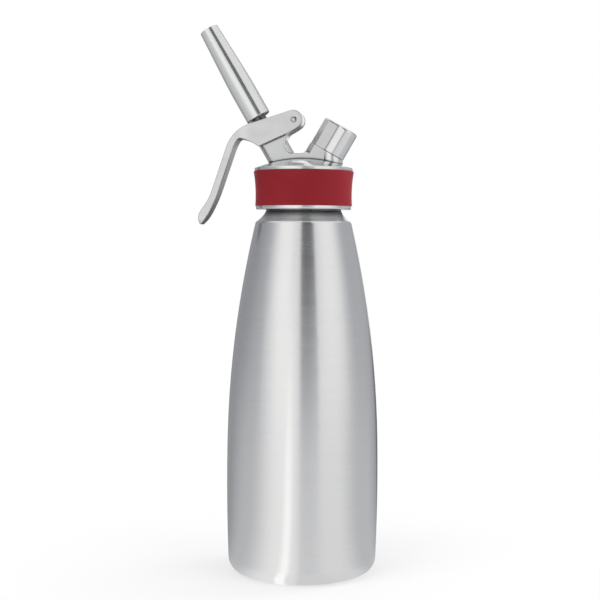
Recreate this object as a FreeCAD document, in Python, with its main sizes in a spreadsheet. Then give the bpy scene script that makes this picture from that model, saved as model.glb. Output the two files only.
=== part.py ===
import FreeCAD, Part

"""A one-litre whipped cream dispenser, as a parametric FreeCAD document in millimetres.

The frame: the origin is the centre of the bottle's base, +Z is up along the bottle, -X is the side of the
nozzle and the lever's grip, and +X is the side of the charging port. Three frames carry the pieces: the
bottle's upright axis, the dispensing valve's axis that leans to -X, and the charging port's axis that leans
to +X. Threads are left off: a screwed pair is a plain rod in a plain hole with a named clearance.
"""

import math
import os

import Sketcher

DRIVING_SIZES = {
    # the drawn steel bottle, from its base up
    "bottle_radius": 49.3,
    "belly_height": 60.6,
    "flank_radius": 1280.0,
    "lower_flank": 26.0,
    "upper_flank": 141.4,
    "shoulder_radius": 31.1,
    "shoulder_rounding": 2.0,
    "cone_height": 7.2,
    "cone_radius": 16.0,
    "neck_radius": 24.4,
    "neck_length": 22.3,
    "bottle_wall": 1.0,
    "base_rounding": 9.5,
    "base_ring_width": 6.0,
    "base_dish_depth": 2.0,
    "base_dish_slope": 3.0,
    "thread_ring_wall": 1.6,
    "thread_ring_chamfer": 0.8,
    "weld_gap": 0.02,
    # the head's skirt, rim, dome and plug
    "thread_gap": 0.35,
    "collar_gap": 0.8,
    "skirt_wall": 3.65,
    "foot_ring_step": 2.6,
    "foot_ring_height": 2.2,
    "foot_ring_rounding": 0.8,
    "rim_step": 3.5,
    "rim_height": 2.1,
    "rim_rounding": 0.6,
    "roof_thickness": 2.9,
    "dome_rise": 6.1,
    "plug_gap": 2.3,
    "plug_depth": 1.5,
    "gasket_thickness": 2.3,
    "gasket_clearance": 0.6,
    "seal_gap": 0.2,
    # the silicone heat sleeve
    "sleeve_gap": 0.05,
    "sleeve_waist": 2.8,
    "sleeve_waist_height": 6.8,
    "sleeve_flare_radius": 92.0,
    "sleeve_rounding": 0.5,
    # the flat-sided casting on the dome
    "casting_width": 14.6,
    "casting_rounding": 1.2,
    "casting_root": 3.0,
    "saddle_rise": 3.3,
    "saddle_reach": 4.95,
    "hook_radius": 6.4,
    "hook_side_radius": 7.8,
    "hook_side_rise": 6.5,
    "hook_side_run": 3.15,
    "port_root_rounding": 2.6,
    # the dispensing valve's axis, its seat and its barrel
    "valve_tilt": 30.0,
    "valve_axis_drop": 13.2,
    "seat_height": 9.0,
    "seat_boss_wall": 2.2,
    "seat_boss_length": 15.0,
    "chamber_clearance": 0.5,
    "chamber_length": 11.0,
    "barrel_swell": 1.6,
    "barrel_root": 20.0,
    "spring_room": 19.6,
    "tongue_step": 8.3,
    "tongue_rise": 5.9,
    # the stem that rides in the barrel
    "stem_radius": 4.5,
    "running_gap": 0.05,
    "stem_bore_radius": 2.6,
    "stem_waist_radius": 3.2,
    "stem_blind_rise": 4.0,
    "stem_port_rise": 7.0,
    "stem_port_radius": 1.1,
    "stem_chamfer": 0.4,
    "foot_step": 0.6,
    "foot_thickness": 2.0,
    "foot_gasket_step": 1.0,
    "foot_gasket_thickness": 2.35,
    "o_ring_thickness": 1.0,
    "o_ring_groove_play": 0.1,
    "o_ring_edge": 1.0,
    "o_ring_pitch": 2.9,
    "stem_stroke": 3.0,
    "stroke_clearance": 0.3,
    "collar_thickness": 2.0,
    "collar_step": 0.7,
    "clip_thickness": 0.8,
    "clip_depth": 0.5,
    "clip_width": 1.0,
    "clip_opening": 50.0,
    "spring_washer_thickness": 0.8,
    "spring_wire_radius": 0.45,
    "spring_inner_gap": 0.35,
    "spring_outer_gap": 0.45,
    "spring_turns": 5.0,
    # the lever
    "lever_arm": 19.69,
    "pin_drop": 0.2,
    "pin_radius": 2.1,
    "pin_dome": 0.35,
    "pin_stand": 0.25,
    "press_gap": 0.01,
    "ear_gap": 0.3,
    "ear_thickness": 1.7,
    "ear_radius": 6.0,
    "ear_set_back": 0.5,
    "ear_set_up": 0.4,
    "tongue_set_in": 0.1,
    "lever_top_slope": 17.5,
    "lever_top_length": 28.1,
    "knuckle_radius": 23.6,
    "knuckle_turn": 53.8,
    "grip_length": 30.2,
    "grip_flare_radius": 32.0,
    "grip_flare_turn": 16.5,
    "grip_flare_length": 5.0,
    "toe_radius": 9.15,
    "toe_turn": 63.2,
    "grip_inner_x": 55.15,
    "grip_inner_z": 58.96,
    "grip_inner_slope": 61.6,
    "grip_inner_radius": 100.0,
    "grip_inner_turn": 9.5,
    "grip_inner_length": 26.8,
    "grip_lead_radius": 25.0,
    "grip_lead_turn": 15.0,
    "arch_radius": 2.2,
    "arch_turn": 68.1,
    "ear_root_slope": 37.0,
    "ear_root_radius": 40.0,
    "ear_root_turn": 13.3,
    "lever_under_length": 19.8,
    "waist_start": 28.4,
    "waist_end": 44.4,
    "grip_step": 1.9,
    "toe_drop": 1.6,
    "lever_corner_rounding": 0.9,
    "lever_rounding": 0.7,
    "web_clearance": 1.3,
    "nose_radius": 2.0,
    "nose_reach": 1.7,
    "nose_play": 0.2,
    # the nozzle
    "nozzle_lift": 8.4,
    "nozzle_length": 66.0,
    "nozzle_wall": 3.7,
    "nozzle_base_rounding": 0.6,
    "nozzle_plain_length": 14.7,
    "nozzle_taper_length": 18.0,
    "nozzle_taper_radius": 400.0,
    "nozzle_tip_wall": 1.3,
    "nozzle_tip_rounding": 0.3,
    "nozzle_bore_radius": 5.0,
    "nozzle_shoulder_radius": 3.0,
    "nozzle_shoulder_thickness": 1.4,
    "nozzle_thread_gap": 0.08,
    "nozzle_thread_length": 9.7,
    "nozzle_seal_thickness": 1.35,
    "nozzle_seal_width": 1.5,
    # the charging port
    "port_tilt": 30.0,
    "port_axis_drop": 17.1,
    "parting_height": 36.3,
    "lobe_swell": 1.1,
    "lobe_root": 0.5,
    "fin_reach": 15.3,
    "facet_width": 3.5,
    "facet_length": 6.7,
    "spigot_step": 1.4,
    "spigot_height": 15.2,
    "spigot_root": 3.0,
    "charger_bore_radius": 4.35,
    "charger_bore_depth": 13.0,
    "insert_radius": 3.2,
    "insert_length": 10.5,
    "insert_flange_thickness": 1.5,
    "insert_gap": 0.05,
    "gas_bore_radius": 0.8,
    "ball_seat_depth": 0.7,
    "check_chamber_radius": 3.0,
    "needle_radius": 1.0,
    "needle_bore_radius": 0.4,
    "needle_depth": 8.5,
    "needle_reach": 5.0,
    "needle_point": 2.3,
    "charger_seal_thickness": 1.5,
    "ball_radius": 1.7,
    "ball_play": 0.3,
    "check_retainer_thickness": 1.2,
    "check_hole_radius": 0.9,
    "check_wire_radius": 0.22,
    "check_spring_radius": 1.4,
    "check_spring_turns": 3.0,
    # the protective cap
    "cap_gap": 0.3,
    "parting_gap": 0.15,
    "cap_crown": 2.0,
    "cap_set_in": 0.4,
    "cap_rounding": 1.5,
    "cap_seal_thickness": 1.5,
    "cap_seal_gap": 0.1,
    "cap_seal_width": 3.2,
    # how far a cutting tool runs past the piece that it cuts
    "cut_margin": 1.0,
}

doc = FreeCAD.newDocument("WhippedCreamDispenser")


class Size:
    """A value together with the spreadsheet formula that gives it, so that sums of sizes stay parametric."""

    def __init__(self, value, formula):
        self.value = value
        self.formula = formula

    def __add__(self, other):
        other = as_size(other)
        return Size(self.value + other.value, f"({self.formula} + {other.formula})")

    def __sub__(self, other):
        other = as_size(other)
        return Size(self.value - other.value, f"({self.formula} - {other.formula})")

    def __mul__(self, other):
        other = as_size(other)
        return Size(self.value * other.value, f"({self.formula} * {other.formula})")

    def __truediv__(self, other):
        other = as_size(other)
        return Size(self.value / other.value, f"({self.formula} / {other.formula})")

    def __radd__(self, other):
        return as_size(other) + self

    def __rsub__(self, other):
        return as_size(other) - self

    def __rmul__(self, other):
        return as_size(other) * self

    def __neg__(self):
        return Size(-self.value, f"(0 - {self.formula})")


def as_size(number):
    return number if isinstance(number, Size) else Size(float(number), repr(float(number)))


def root(size):
    return Size(math.sqrt(size.value), f"sqrt({size.formula})")


def sine(angle):
    return Size(math.sin(math.radians(angle.value)), f"sin({angle.formula})")


def cosine(angle):
    return Size(math.cos(math.radians(angle.value)), f"cos({angle.formula})")


def magnitude(size):
    return size if size.value >= 0 else -size


class Sheet:
    """The spreadsheet of driving sizes; each alias reads back as a Size."""

    def __init__(self, document, sizes):
        self.cells = document.addObject("Spreadsheet::Sheet", "Sizes")
        self.rows = 0
        for alias, value in sizes.items():
            self.add_row(alias, str(value))
            setattr(self, alias, Size(value, f"Sizes.{alias}"))
        document.recompute()

    def add_row(self, alias, content):
        self.rows += 1
        self.cells.set(f"A{self.rows}", alias.replace("_", " "))
        self.cells.set(f"B{self.rows}", content)
        self.cells.setAlias(f"B{self.rows}", alias)

    def derived(self, alias, result):
        """Keeps a derived size in a cell of its own and returns it under that name."""
        self.add_row(alias, "=" + result.formula.replace("Sizes.", ""))
        return Size(result.value, f"Sizes.{alias}")


class Frame:
    """An axis that crosses the bottle's own at a height and leans to +X (lean 1) or to -X (lean -1)."""

    def __init__(self, height, tilt, lean):
        self.height = height
        self.tilt = tilt
        self.lean = lean

    def point(self, along, across=0):
        """The (x, z) of a place along the axis and across it, towards +X."""
        x = self.lean * sine(self.tilt) * along + cosine(self.tilt) * across
        z = self.height + cosine(self.tilt) * along - self.lean * sine(self.tilt) * across
        return x, z

    def place(self, thing, along=0, across=0, turn=0):
        """Stands a thing on the axis; turn adds to its lean, in degrees about Y."""
        x, z = self.point(along, across)
        angle = self.lean * self.tilt + turn
        thing.Placement = FreeCAD.Placement(
            FreeCAD.Vector(x.value, 0, z.value), FreeCAD.Rotation(FreeCAD.Vector(0, 1, 0), 10)
        )
        thing.setExpression("Placement.Base.x", x.formula)
        thing.setExpression("Placement.Base.z", z.formula)
        thing.setExpression("Placement.Rotation.Angle", angle.formula)


class Walk:
    """An outline traced from a place and a heading, in tangent straights and bends."""

    def __init__(self, name, start, heading):
        self.name = name
        self.places = [start]
        self.radii = []
        self.heading = heading

    def arrive(self, x, z, radius=None):
        stem = f"{self.name}_{len(self.places)}"
        self.places.append((size.derived(f"{stem}_x", x), size.derived(f"{stem}_z", z)))
        self.radii.append(radius)
        return self

    def straight(self, length):
        x, z = self.places[-1]
        return self.arrive(x + length * cosine(self.heading), z + length * sine(self.heading))

    def bend(self, radius, turn):
        """Turns left by an angle on a radius, or right where both are negative."""
        x, z = self.places[-1]
        onward = self.heading + turn
        next_x = x + radius * (sine(onward) - sine(self.heading))
        next_z = z + radius * (cosine(self.heading) - cosine(onward))
        self.heading = onward
        return self.arrive(next_x, next_z, radius)

    def corners(self):
        """The corners in the order walked, each with the radius of its run, and the last without one."""
        runs = zip(self.places, self.radii)
        corners = [place if radius is None else (*place, radius) for place, radius in runs]
        return [*corners, self.places[-1]]

    def corners_back(self):
        """The same corners in the opposite order, where each bend turns the other way."""
        runs = zip(self.places[:0:-1], self.radii[::-1])
        corners = [place if radius is None else (*place, -radius) for place, radius in runs]
        return [*corners, self.places[0]]


def tangent_radius(start, end, slope, at_end=False):
    """The radius of the arc between two places that has the given slope at its start, or at its end."""
    run_x, run_z = end[0] - start[0], end[1] - start[1]
    lean = cosine(slope) * run_z - sine(slope) * run_x
    if at_end:
        lean = -lean
    return (run_x * run_x + run_z * run_z) / (2 * lean)


def bind(thing, **sizes):
    """Binds properties of an object to formulas of the spreadsheet."""
    for name, size in sizes.items():
        thing.setExpression(name, as_size(size).formula)


def plane_of(body, role):
    return next(item for item in body.Origin.OriginFeatures if item.Role == role)


def arc_centre(start, end, radius):
    """The centre of the minor arc from start to end; a positive radius keeps it to the left of the way."""
    middle = (start + end) * 0.5
    run = end - start
    rise = math.sqrt(max(radius * radius - (run.Length / 2) ** 2, 0.0))
    side = FreeCAD.Vector(-run.y, run.x, 0).normalize()
    return middle + side * math.copysign(rise, radius)


def add_run(sketch, start, end, radius):
    """Adds a line or an arc and returns its number with the handles of its start and end points."""
    if radius is None:
        return sketch.addGeometry(Part.LineSegment(start, end), False), 1, 2
    centre = arc_centre(start, end, radius.value)
    first, last = (start, end) if radius.value > 0 else (end, start)
    angles = [math.atan2(point.y - centre.y, point.x - centre.x) for point in (first, last)]
    if angles[1] < angles[0]:
        angles[1] += 2 * math.pi
    circle = Part.Circle(centre, FreeCAD.Vector(0, 0, 1), abs(radius.value))
    number = sketch.addGeometry(Part.ArcOfCircle(circle, *angles), False)
    sketch.addConstraint(Sketcher.Constraint("Radius", number, abs(radius.value)))
    sketch.renameConstraint(sketch.ConstraintCount - 1, f"radius_{number}")
    sketch.setExpression(f"Constraints.radius_{number}", magnitude(radius).formula)
    return (number, 1, 2) if radius.value > 0 else (number, 2, 1)


def pin_point(sketch, number, handle, corner, size, across):
    """Ties one coordinate of a corner to its size, or to the axis where it is plainly zero."""
    if not isinstance(size, Size):
        axis = -2 if across else -1
        sketch.addConstraint(Sketcher.Constraint("PointOnObject", number, handle, axis))
        return
    kind, letter = ("DistanceX", "x") if across else ("DistanceY", "y")
    sketch.addConstraint(Sketcher.Constraint(kind, -1, 1, number, handle, size.value))
    sketch.renameConstraint(sketch.ConstraintCount - 1, f"{letter}_{corner}")
    sketch.setExpression(f"Constraints.{letter}_{corner}", size.formula)


def outline(body, role, corners):
    """A closed sketch through the corners, each (x, y) or (x, y, radius of the arc to the next corner)."""
    sketch = body.newObject("Sketcher::SketchObject", f"{body.Name}_outline")
    sketch.AttachmentSupport = [(plane_of(body, role), "")]
    sketch.MapMode = "FlatFace"
    places = [FreeCAD.Vector(as_size(c[0]).value, as_size(c[1]).value, 0) for c in corners]
    runs = []
    for index, corner in enumerate(corners):
        radius = corner[2] if len(corner) > 2 else None
        end = places[(index + 1) % len(places)]
        runs.append(add_run(sketch, places[index], end, radius))
    for index, (number, start, _) in enumerate(runs):
        before, _, end = runs[index - 1]
        sketch.addConstraint(Sketcher.Constraint("Coincident", before, end, number, start))
        pin_point(sketch, number, start, index, corners[index][0], True)
        pin_point(sketch, number, start, index, corners[index][1], False)
    return sketch


def new_body(name, frame=None, along=0):
    body = doc.addObject("PartDesign::Body", name)
    body.Label = name
    if frame is not None:
        frame.place(body, along)
    return body


def turned(name, corners, frame=None, angle=None):
    """A piece turned about its frame's axis from an outline of (radius, height along the axis)."""
    body = new_body(name, frame)
    profile = outline(body, "XZ_Plane", corners)
    turn = body.newObject("PartDesign::Revolution", f"{name}_turn")
    turn.Profile = profile
    turn.ReferenceAxis = (profile, ["V_Axis"])
    if angle is not None:
        bind(turn, Angle=angle)
    return body


def ring(name, frame, inner, outer, bottom, top, angle=None):
    """A plain ring on a frame's axis."""
    corners = [(inner, bottom), (outer, bottom), (outer, top), (inner, top)]
    return turned(name, corners, frame, angle)


def plate(name, corners, width):
    """A flat-sided piece: an outline in X and Z, as wide as given and centred on Y."""
    body = new_body(name)
    profile = outline(body, "XZ_Plane", corners)
    pad = body.newObject("PartDesign::Pad", f"{name}_pad")
    pad.Profile = profile
    pad.SideType = "Symmetric"
    bind(pad, Length=width)
    return body


def prism(name, corners, frame, bottom, top):
    """A bar along a frame's axis: an outline across the axis, from bottom to top along it."""
    body = new_body(name, frame, bottom)
    profile = outline(body, "XY_Plane", corners)
    pad = body.newObject("PartDesign::Pad", f"{name}_pad")
    pad.Profile = profile
    bind(pad, Length=top - bottom)
    return body


def rod(name, frame, radius, bottom, top):
    """A plain rod on a frame's axis."""
    cylinder = doc.addObject("Part::Cylinder", name)
    bind(cylinder, Radius=radius, Height=top - bottom)
    frame.place(cylinder, bottom)
    return cylinder


def lay_across(thing, place, near):
    """Turns a thing's own axis parallel to Y, through a place (x, z), from near in Y."""
    thing.Placement = FreeCAD.Placement(
        FreeCAD.Vector(0, 0, 0), FreeCAD.Rotation(FreeCAD.Vector(1, 0, 0), -90)
    )
    x, z = place
    thing.setExpression("Placement.Base.x", x.formula)
    thing.setExpression("Placement.Base.y", as_size(near).formula)
    thing.setExpression("Placement.Base.z", z.formula)


def cross_rod(name, place, radius, near, far):
    """A rod parallel to Y through a place (x, z), from near to far in Y."""
    cylinder = doc.addObject("Part::Cylinder", name)
    bind(cylinder, Radius=radius, Height=far - near)
    lay_across(cylinder, place, near)
    return cylinder


def joined(name, pieces):
    fuse = doc.addObject("Part::MultiFuse", name)
    fuse.Shapes = pieces
    fuse.Refine = True
    return fuse


def cut(name, base, tools):
    """The base with the tools taken out of it."""
    result = doc.addObject("Part::Cut", name)
    result.Base = base
    result.Tool = joined(f"{name}_tools", tools) if len(tools) > 1 else tools[0]
    result.Label = name
    return result


def edges_on(solid, test):
    """The names of a solid's edges that pass a test."""
    doc.recompute()
    edges = solid.Shape.Edges
    return [f"Edge{number}" for number, edge in enumerate(edges, start=1) if test(edge)]


def rounded(body, radius, test):
    """Rounds the edges of a body's newest solid that pass a test."""
    solid = body.Tip
    names = edges_on(solid, test)
    fillet = body.newObject("PartDesign::Fillet", f"{body.Name}_rounding_{len(body.Group)}")
    fillet.Base = (solid, names)
    bind(fillet, Radius=radius)
    return fillet


def lies_at_height(thing, height):
    """Whether an edge or a face lies in the level plane at a height."""
    box = thing.BoundBox
    return abs(box.ZMin - height) < 0.001 and abs(box.ZMax - height) < 0.001


def is_rim_of_side(edge):
    """Whether an edge runs along a flat piece's outline, and not straight across it or up its side."""
    box = edge.BoundBox
    straight = [length < 0.001 for length in (box.XLength, box.YLength, box.ZLength)]
    return straight.count(True) < 2


def crosses_at(*places):
    """A test for the edges that run straight across a plate at the given (x, z) corners of its outline."""
    spots = [(as_size(x).value, as_size(z).value) for x, z in places]

    def test(edge):
        ends = edge.Vertexes
        return len(ends) == 2 and any(
            all(math.hypot(end.X - x, end.Z - z) < 0.01 for end in ends) for x, z in spots
        )

    return test


def runs_between(corners, wanted, half_width):
    """A test for the edges of a plate that follow the wanted runs of its outline, on both of its faces."""
    half = half_width.value
    pairs = []
    for index in wanted:
        start, end = corners[index], corners[(index + 1) % len(corners)]
        pairs.append([(as_size(c[0]).value, as_size(c[1]).value) for c in (start, end)])

    def near(vertex, place):
        return math.hypot(vertex.X - place[0], vertex.Z - place[1]) < 0.01

    def test(edge):
        ends = edge.Vertexes
        if len(ends) != 2 or any(abs(abs(end.Y) - half) > 0.01 for end in ends):
            return False
        if ends[0].Y * ends[1].Y < 0:
            return False
        return any(
            (near(ends[0], a) and near(ends[1], b)) or (near(ends[0], b) and near(ends[1], a))
            for a, b in pairs
        )

    return test


def coil(name, frame, radius, wire, bottom, top, turns):
    """A round-wire compression spring on a frame's axis, its wire's centre between bottom and top."""
    helix = doc.addObject("Part::Helix", f"{name}_helix")
    bind(helix, Radius=radius, Height=top - bottom, Pitch=(top - bottom) / turns)
    section = doc.addObject("Part::Circle", f"{name}_wire")
    bind(section, Radius=wire)
    section.Placement = FreeCAD.Placement(
        FreeCAD.Vector(radius.value, 0, 0), FreeCAD.Rotation(FreeCAD.Vector(1, 0, 0), 90)
    )
    section.setExpression("Placement.Base.x", radius.formula)
    sweep = doc.addObject("Part::Sweep", name)
    sweep.Sections = [section]
    sweep.Spine = (helix, ["Edge1"])
    sweep.Solid = True
    sweep.Frenet = True
    frame.place(sweep, bottom)
    sweep.Label = name
    return sweep


size = Sheet(doc, DRIVING_SIZES)

# the bottle's and the head's heights, each from the one below it
turn_height = size.derived("turn_height", size.belly_height + size.lower_flank)
shoulder_height = size.derived("shoulder_height", turn_height + size.upper_flank)
neck_base = size.derived("neck_base", shoulder_height + size.cone_height)
bottle_rim = size.derived("bottle_rim", neck_base + size.neck_length)
skirt_bottom = size.derived("skirt_bottom", neck_base + size.collar_gap)
ceiling = size.derived("ceiling", bottle_rim + size.gasket_thickness + size.seal_gap)
plug_bottom = size.derived("plug_bottom", bottle_rim - size.plug_depth)
rim_top = size.derived("rim_top", ceiling + size.roof_thickness)
crown = size.derived("crown", rim_top + size.dome_rise)
saddle = size.derived("saddle", crown + size.saddle_rise)
sleeve_bottom = size.derived("sleeve_bottom", skirt_bottom + size.foot_ring_height)
sleeve_top = size.derived("sleeve_top", rim_top - size.rim_height)

# radii about the bottle's axis, from the neck outwards and inwards
shell_radius = size.derived("shell_radius", size.neck_radius - size.thread_ring_wall)
plug_radius = size.derived("plug_radius", shell_radius - size.bottle_wall - size.plug_gap)
skirt_bore = size.derived("skirt_bore", size.neck_radius + size.thread_gap)
skirt_radius = size.derived("skirt_radius", skirt_bore + size.skirt_wall)

# the two leaning axes, and the places along them
valve = Frame(size.derived("valve_origin", bottle_rim - size.valve_axis_drop), size.valve_tilt, -1)
port = Frame(size.derived("port_origin", bottle_rim - size.port_axis_drop), size.port_tilt, 1)
chamber_top = size.derived("chamber_top", size.seat_height + size.chamber_length)
groove_height = size.derived("groove_height", size.o_ring_thickness + size.o_ring_groove_play)
guide_length = 2 * size.o_ring_edge + groove_height + size.o_ring_pitch
spring_floor = size.derived("spring_floor", chamber_top + guide_length)
barrel_top = size.derived("barrel_top", spring_floor + size.spring_room)
collar_bottom = size.derived("collar_bottom", barrel_top + size.stem_stroke + size.stroke_clearance)
collar_top = size.derived("collar_top", collar_bottom + size.collar_thickness)
nozzle_base = size.derived("nozzle_base", collar_top + size.nozzle_lift)
stem_top = size.derived("stem_top", nozzle_base + size.nozzle_thread_length)
spigot_top = size.derived("spigot_top", size.parting_height + size.spigot_height)
insert_ledge = size.derived("insert_ledge", spigot_top - size.charger_bore_depth)
insert_bottom = size.derived("insert_bottom", insert_ledge - size.insert_length)
flange_top = size.derived("flange_top", insert_ledge + size.insert_flange_thickness)
check_floor = size.derived(
    "check_floor",
    (plug_bottom - port.height + sine(port.tilt) * size.check_chamber_radius) / cosine(port.tilt),
)

# radii about the valve's axis, and the widths of what straddles it
guide_radius = size.derived("guide_radius", size.stem_radius + size.running_gap)
chamber_radius = size.derived("chamber_radius", size.stem_radius + size.chamber_clearance)
spring_radius = size.derived(
    "spring_radius", size.stem_radius + size.spring_inner_gap + size.spring_wire_radius
)
spring_bore = size.derived(
    "spring_bore", spring_radius + size.spring_wire_radius + size.spring_outer_gap
)
casting_half = size.derived("casting_half", size.casting_width / 2)
barrel_radius = size.derived("barrel_radius", casting_half + size.barrel_swell)
ear_inner = size.derived("ear_inner", casting_half + size.ear_gap)
lever_half = size.derived("lever_half", ear_inner + size.ear_thickness)
grip_half = size.derived("grip_half", lever_half - size.grip_step)
lobe_radius = size.derived("lobe_radius", casting_half + size.lobe_swell)
spigot_radius = size.derived("spigot_radius", lobe_radius - size.spigot_step)

# the lever's pivot and the middle of its ears' round end
pivot_x, pivot_z = valve.point(barrel_top - size.pin_drop, size.lever_arm)
pin_x = size.derived("pin_x", pivot_x)
pin_z = size.derived("pin_z", pivot_z)
ear_x = size.derived("ear_x", pin_x - size.ear_set_back)
ear_z = size.derived("ear_z", pin_z + size.ear_set_up)


def make_bottle():
    """The drawn shell: a dished base, a long belly, a shoulder and a plain neck, hollowed to its wall."""
    flank_centre = size.bottle_radius - size.flank_radius
    inner_flank = size.flank_radius - size.base_rounding
    drop = size.belly_height - size.base_rounding
    corner = size.derived("base_corner", flank_centre + root(inner_flank * inner_flank - drop * drop))
    stretch = size.flank_radius / inner_flank
    flank_start = (flank_centre + (corner - flank_centre) * stretch, size.belly_height - drop * stretch)
    lean_z = size.lower_flank / size.flank_radius
    lean_r = root(1 - lean_z * lean_z)
    turn_radius = size.derived("turn_radius", flank_centre + size.flank_radius * lean_r)
    run_r = size.shoulder_radius - turn_radius
    run_z = size.upper_flank
    upper_radius = -(run_r * run_r + run_z * run_z) / (2 * (run_r * lean_r + run_z * lean_z))
    ring_inner = corner - size.base_ring_width
    corners = [
        (0, size.base_dish_depth),
        (ring_inner - size.base_dish_slope, size.base_dish_depth),
        (ring_inner, 0),
        (corner, 0, size.base_rounding),
        (*flank_start, size.flank_radius),
        (turn_radius, turn_height, size.derived("upper_flank_radius", upper_radius)),
        (size.shoulder_radius, shoulder_height, -size.cone_radius),
        (size.neck_radius, neck_base),
        (shell_radius, neck_base),
        (shell_radius, bottle_rim),
        (0, bottle_rim),
    ]
    bottle = turned("bottle", corners)
    rounded(bottle, size.shoulder_rounding, lambda edge: lies_at_height(edge, shoulder_height.value))
    doc.recompute()
    solid = bottle.Tip
    faces = enumerate(solid.Shape.Faces, start=1)
    mouth = [f"Face{number}" for number, face in faces if lies_at_height(face, bottle_rim.value)]
    hollow = bottle.newObject("PartDesign::Thickness", "bottle_hollow")
    hollow.Base = (solid, mouth)
    hollow.Reversed = True
    bind(hollow, Value=size.bottle_wall)
    return bottle


def make_thread_ring():
    """The turned ring that carries the neck's thread, welded round the shell's neck."""
    inner = shell_radius + size.weld_gap
    corners = [
        (inner, neck_base),
        (size.neck_radius, neck_base),
        (size.neck_radius, bottle_rim - size.thread_ring_chamfer),
        (size.neck_radius - size.thread_ring_chamfer, bottle_rim),
        (inner, bottle_rim),
    ]
    return turned("thread_ring", corners)


def make_head_gasket():
    """The flat silicone ring between the bottle's rim and the head's ceiling."""
    inner = plug_radius + size.gasket_clearance
    return ring("head_gasket", None, inner, size.neck_radius, bottle_rim, bottle_rim + size.gasket_thickness)


def make_head_shell():
    """The head's skirt with the sleeve's seat, the rim and the low dome, and the plug inside the neck."""
    foot_radius = skirt_radius + size.foot_ring_step
    rim_radius = skirt_radius + size.rim_step
    dome_edge = rim_radius - size.rim_rounding
    dome_radius = (dome_edge * dome_edge + size.dome_rise * size.dome_rise) / (2 * size.dome_rise)
    corners = [
        (skirt_bore, skirt_bottom),
        (foot_radius - size.foot_ring_rounding, skirt_bottom, size.foot_ring_rounding),
        (foot_radius, skirt_bottom + size.foot_ring_rounding),
        (foot_radius, sleeve_bottom),
        (skirt_radius, sleeve_bottom),
        (skirt_radius, sleeve_top),
        (rim_radius, sleeve_top),
        (rim_radius, rim_top - size.rim_rounding, size.rim_rounding),
        (dome_edge, rim_top, dome_radius),
        (0, crown),
        (0, plug_bottom),
        (plug_radius, plug_bottom),
        (plug_radius, ceiling),
        (skirt_bore, ceiling),
    ]
    return turned("head_shell", corners)


def make_casting():
    """The flat-sided slab from the barrel, over the lever's tongue and the hook, to the port's fin."""
    end_radius = size.ear_radius - size.tongue_set_in
    top, root_slope = size.lever_top_slope, size.ear_root_slope
    hook_x = -(size.saddle_reach + size.hook_radius)
    hook_z = saddle + size.hook_radius
    fin_foot = (saddle - port.height - sine(port.tilt) * size.fin_reach) / cosine(port.tilt)
    fin_x, _ = port.point(fin_foot, -size.fin_reach)
    tangent = size.port_root_rounding * sine(port.tilt) / cosine(port.tilt)
    lobe_x, lobe_z = port.point(size.parting_height)
    corners = [
        valve.point(size.barrel_root),
        valve.point(barrel_top),
        valve.point(barrel_top, size.tongue_step),
        valve.point(barrel_top + size.tongue_rise, size.tongue_step),
        (ear_x - end_radius * sine(top), ear_z + end_radius * cosine(top), -end_radius),
        (ear_x + end_radius * sine(root_slope), ear_z - end_radius * cosine(root_slope)),
        (hook_x + size.hook_side_run, hook_z + size.hook_side_rise, size.hook_side_radius),
        (hook_x, hook_z, size.hook_radius),
        (-size.saddle_reach, saddle),
        (fin_x - tangent, saddle, size.port_root_rounding),
        port.point(fin_foot + tangent, -size.fin_reach),
        port.point(size.parting_height, -size.fin_reach),
        (lobe_x, lobe_z),
        (lobe_x, ceiling + size.casting_root),
    ]
    casting = plate("casting", corners, size.casting_width)
    rounded(casting, size.casting_rounding, runs_between(corners, range(3, 10), casting_half))
    return casting


def flat_sided_bar(name, frame, radius, half, bottom, top):
    """A round bar with a flat on each side."""
    chord = root(radius * radius - half * half)
    corners = [(-chord, -half), (chord, -half, radius), (chord, half), (-chord, half, radius)]
    return prism(name, corners, frame, bottom, top)


def make_port_boss():
    """The round lobe of the port: its section on the parting plane, carried straight down into the dome."""
    section = doc.addObject("Part::Circle", "port_section")
    bind(section, Radius=lobe_radius)
    port.place(section, size.parting_height)
    boss = doc.addObject("Part::Extrusion", "port_boss")
    boss.Base = section
    boss.DirMode = "Custom"
    boss.Dir = FreeCAD.Vector(0, 0, -1)
    boss.Solid = True
    _, lobe_z = port.point(size.parting_height)
    bind(boss, LengthFwd=lobe_z - lobe_radius * sine(port.tilt) - ceiling - size.lobe_root)
    return boss


def facet_cutter(name, side):
    """A bar that takes the facet off one edge of the port's fin, down to the facet's foot."""
    beyond = size.fin_reach + size.facet_width
    corners = [
        (size.facet_width - size.fin_reach, side * casting_half),
        (size.facet_width - size.fin_reach, side * (casting_half + size.facet_width)),
        (-beyond, side * (casting_half + size.facet_width)),
        (-beyond, side * (casting_half - size.facet_width)),
        (-size.fin_reach, side * (casting_half - size.facet_width)),
    ]
    top = size.parting_height + size.cut_margin
    return prism(name, corners, port, size.parting_height - size.facet_length, top)


def make_valve_bore():
    """What is bored out along the valve's axis: chamber, guide and spring bore."""
    corners = [
        (0, size.seat_height - size.cut_margin),
        (chamber_radius, size.seat_height - size.cut_margin),
        (chamber_radius, chamber_top),
        (guide_radius, chamber_top),
        (guide_radius, spring_floor),
        (spring_bore, spring_floor),
        (spring_bore, barrel_top + size.cut_margin),
        (0, barrel_top + size.cut_margin),
    ]
    return turned("valve_bore", corners, valve)


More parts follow.
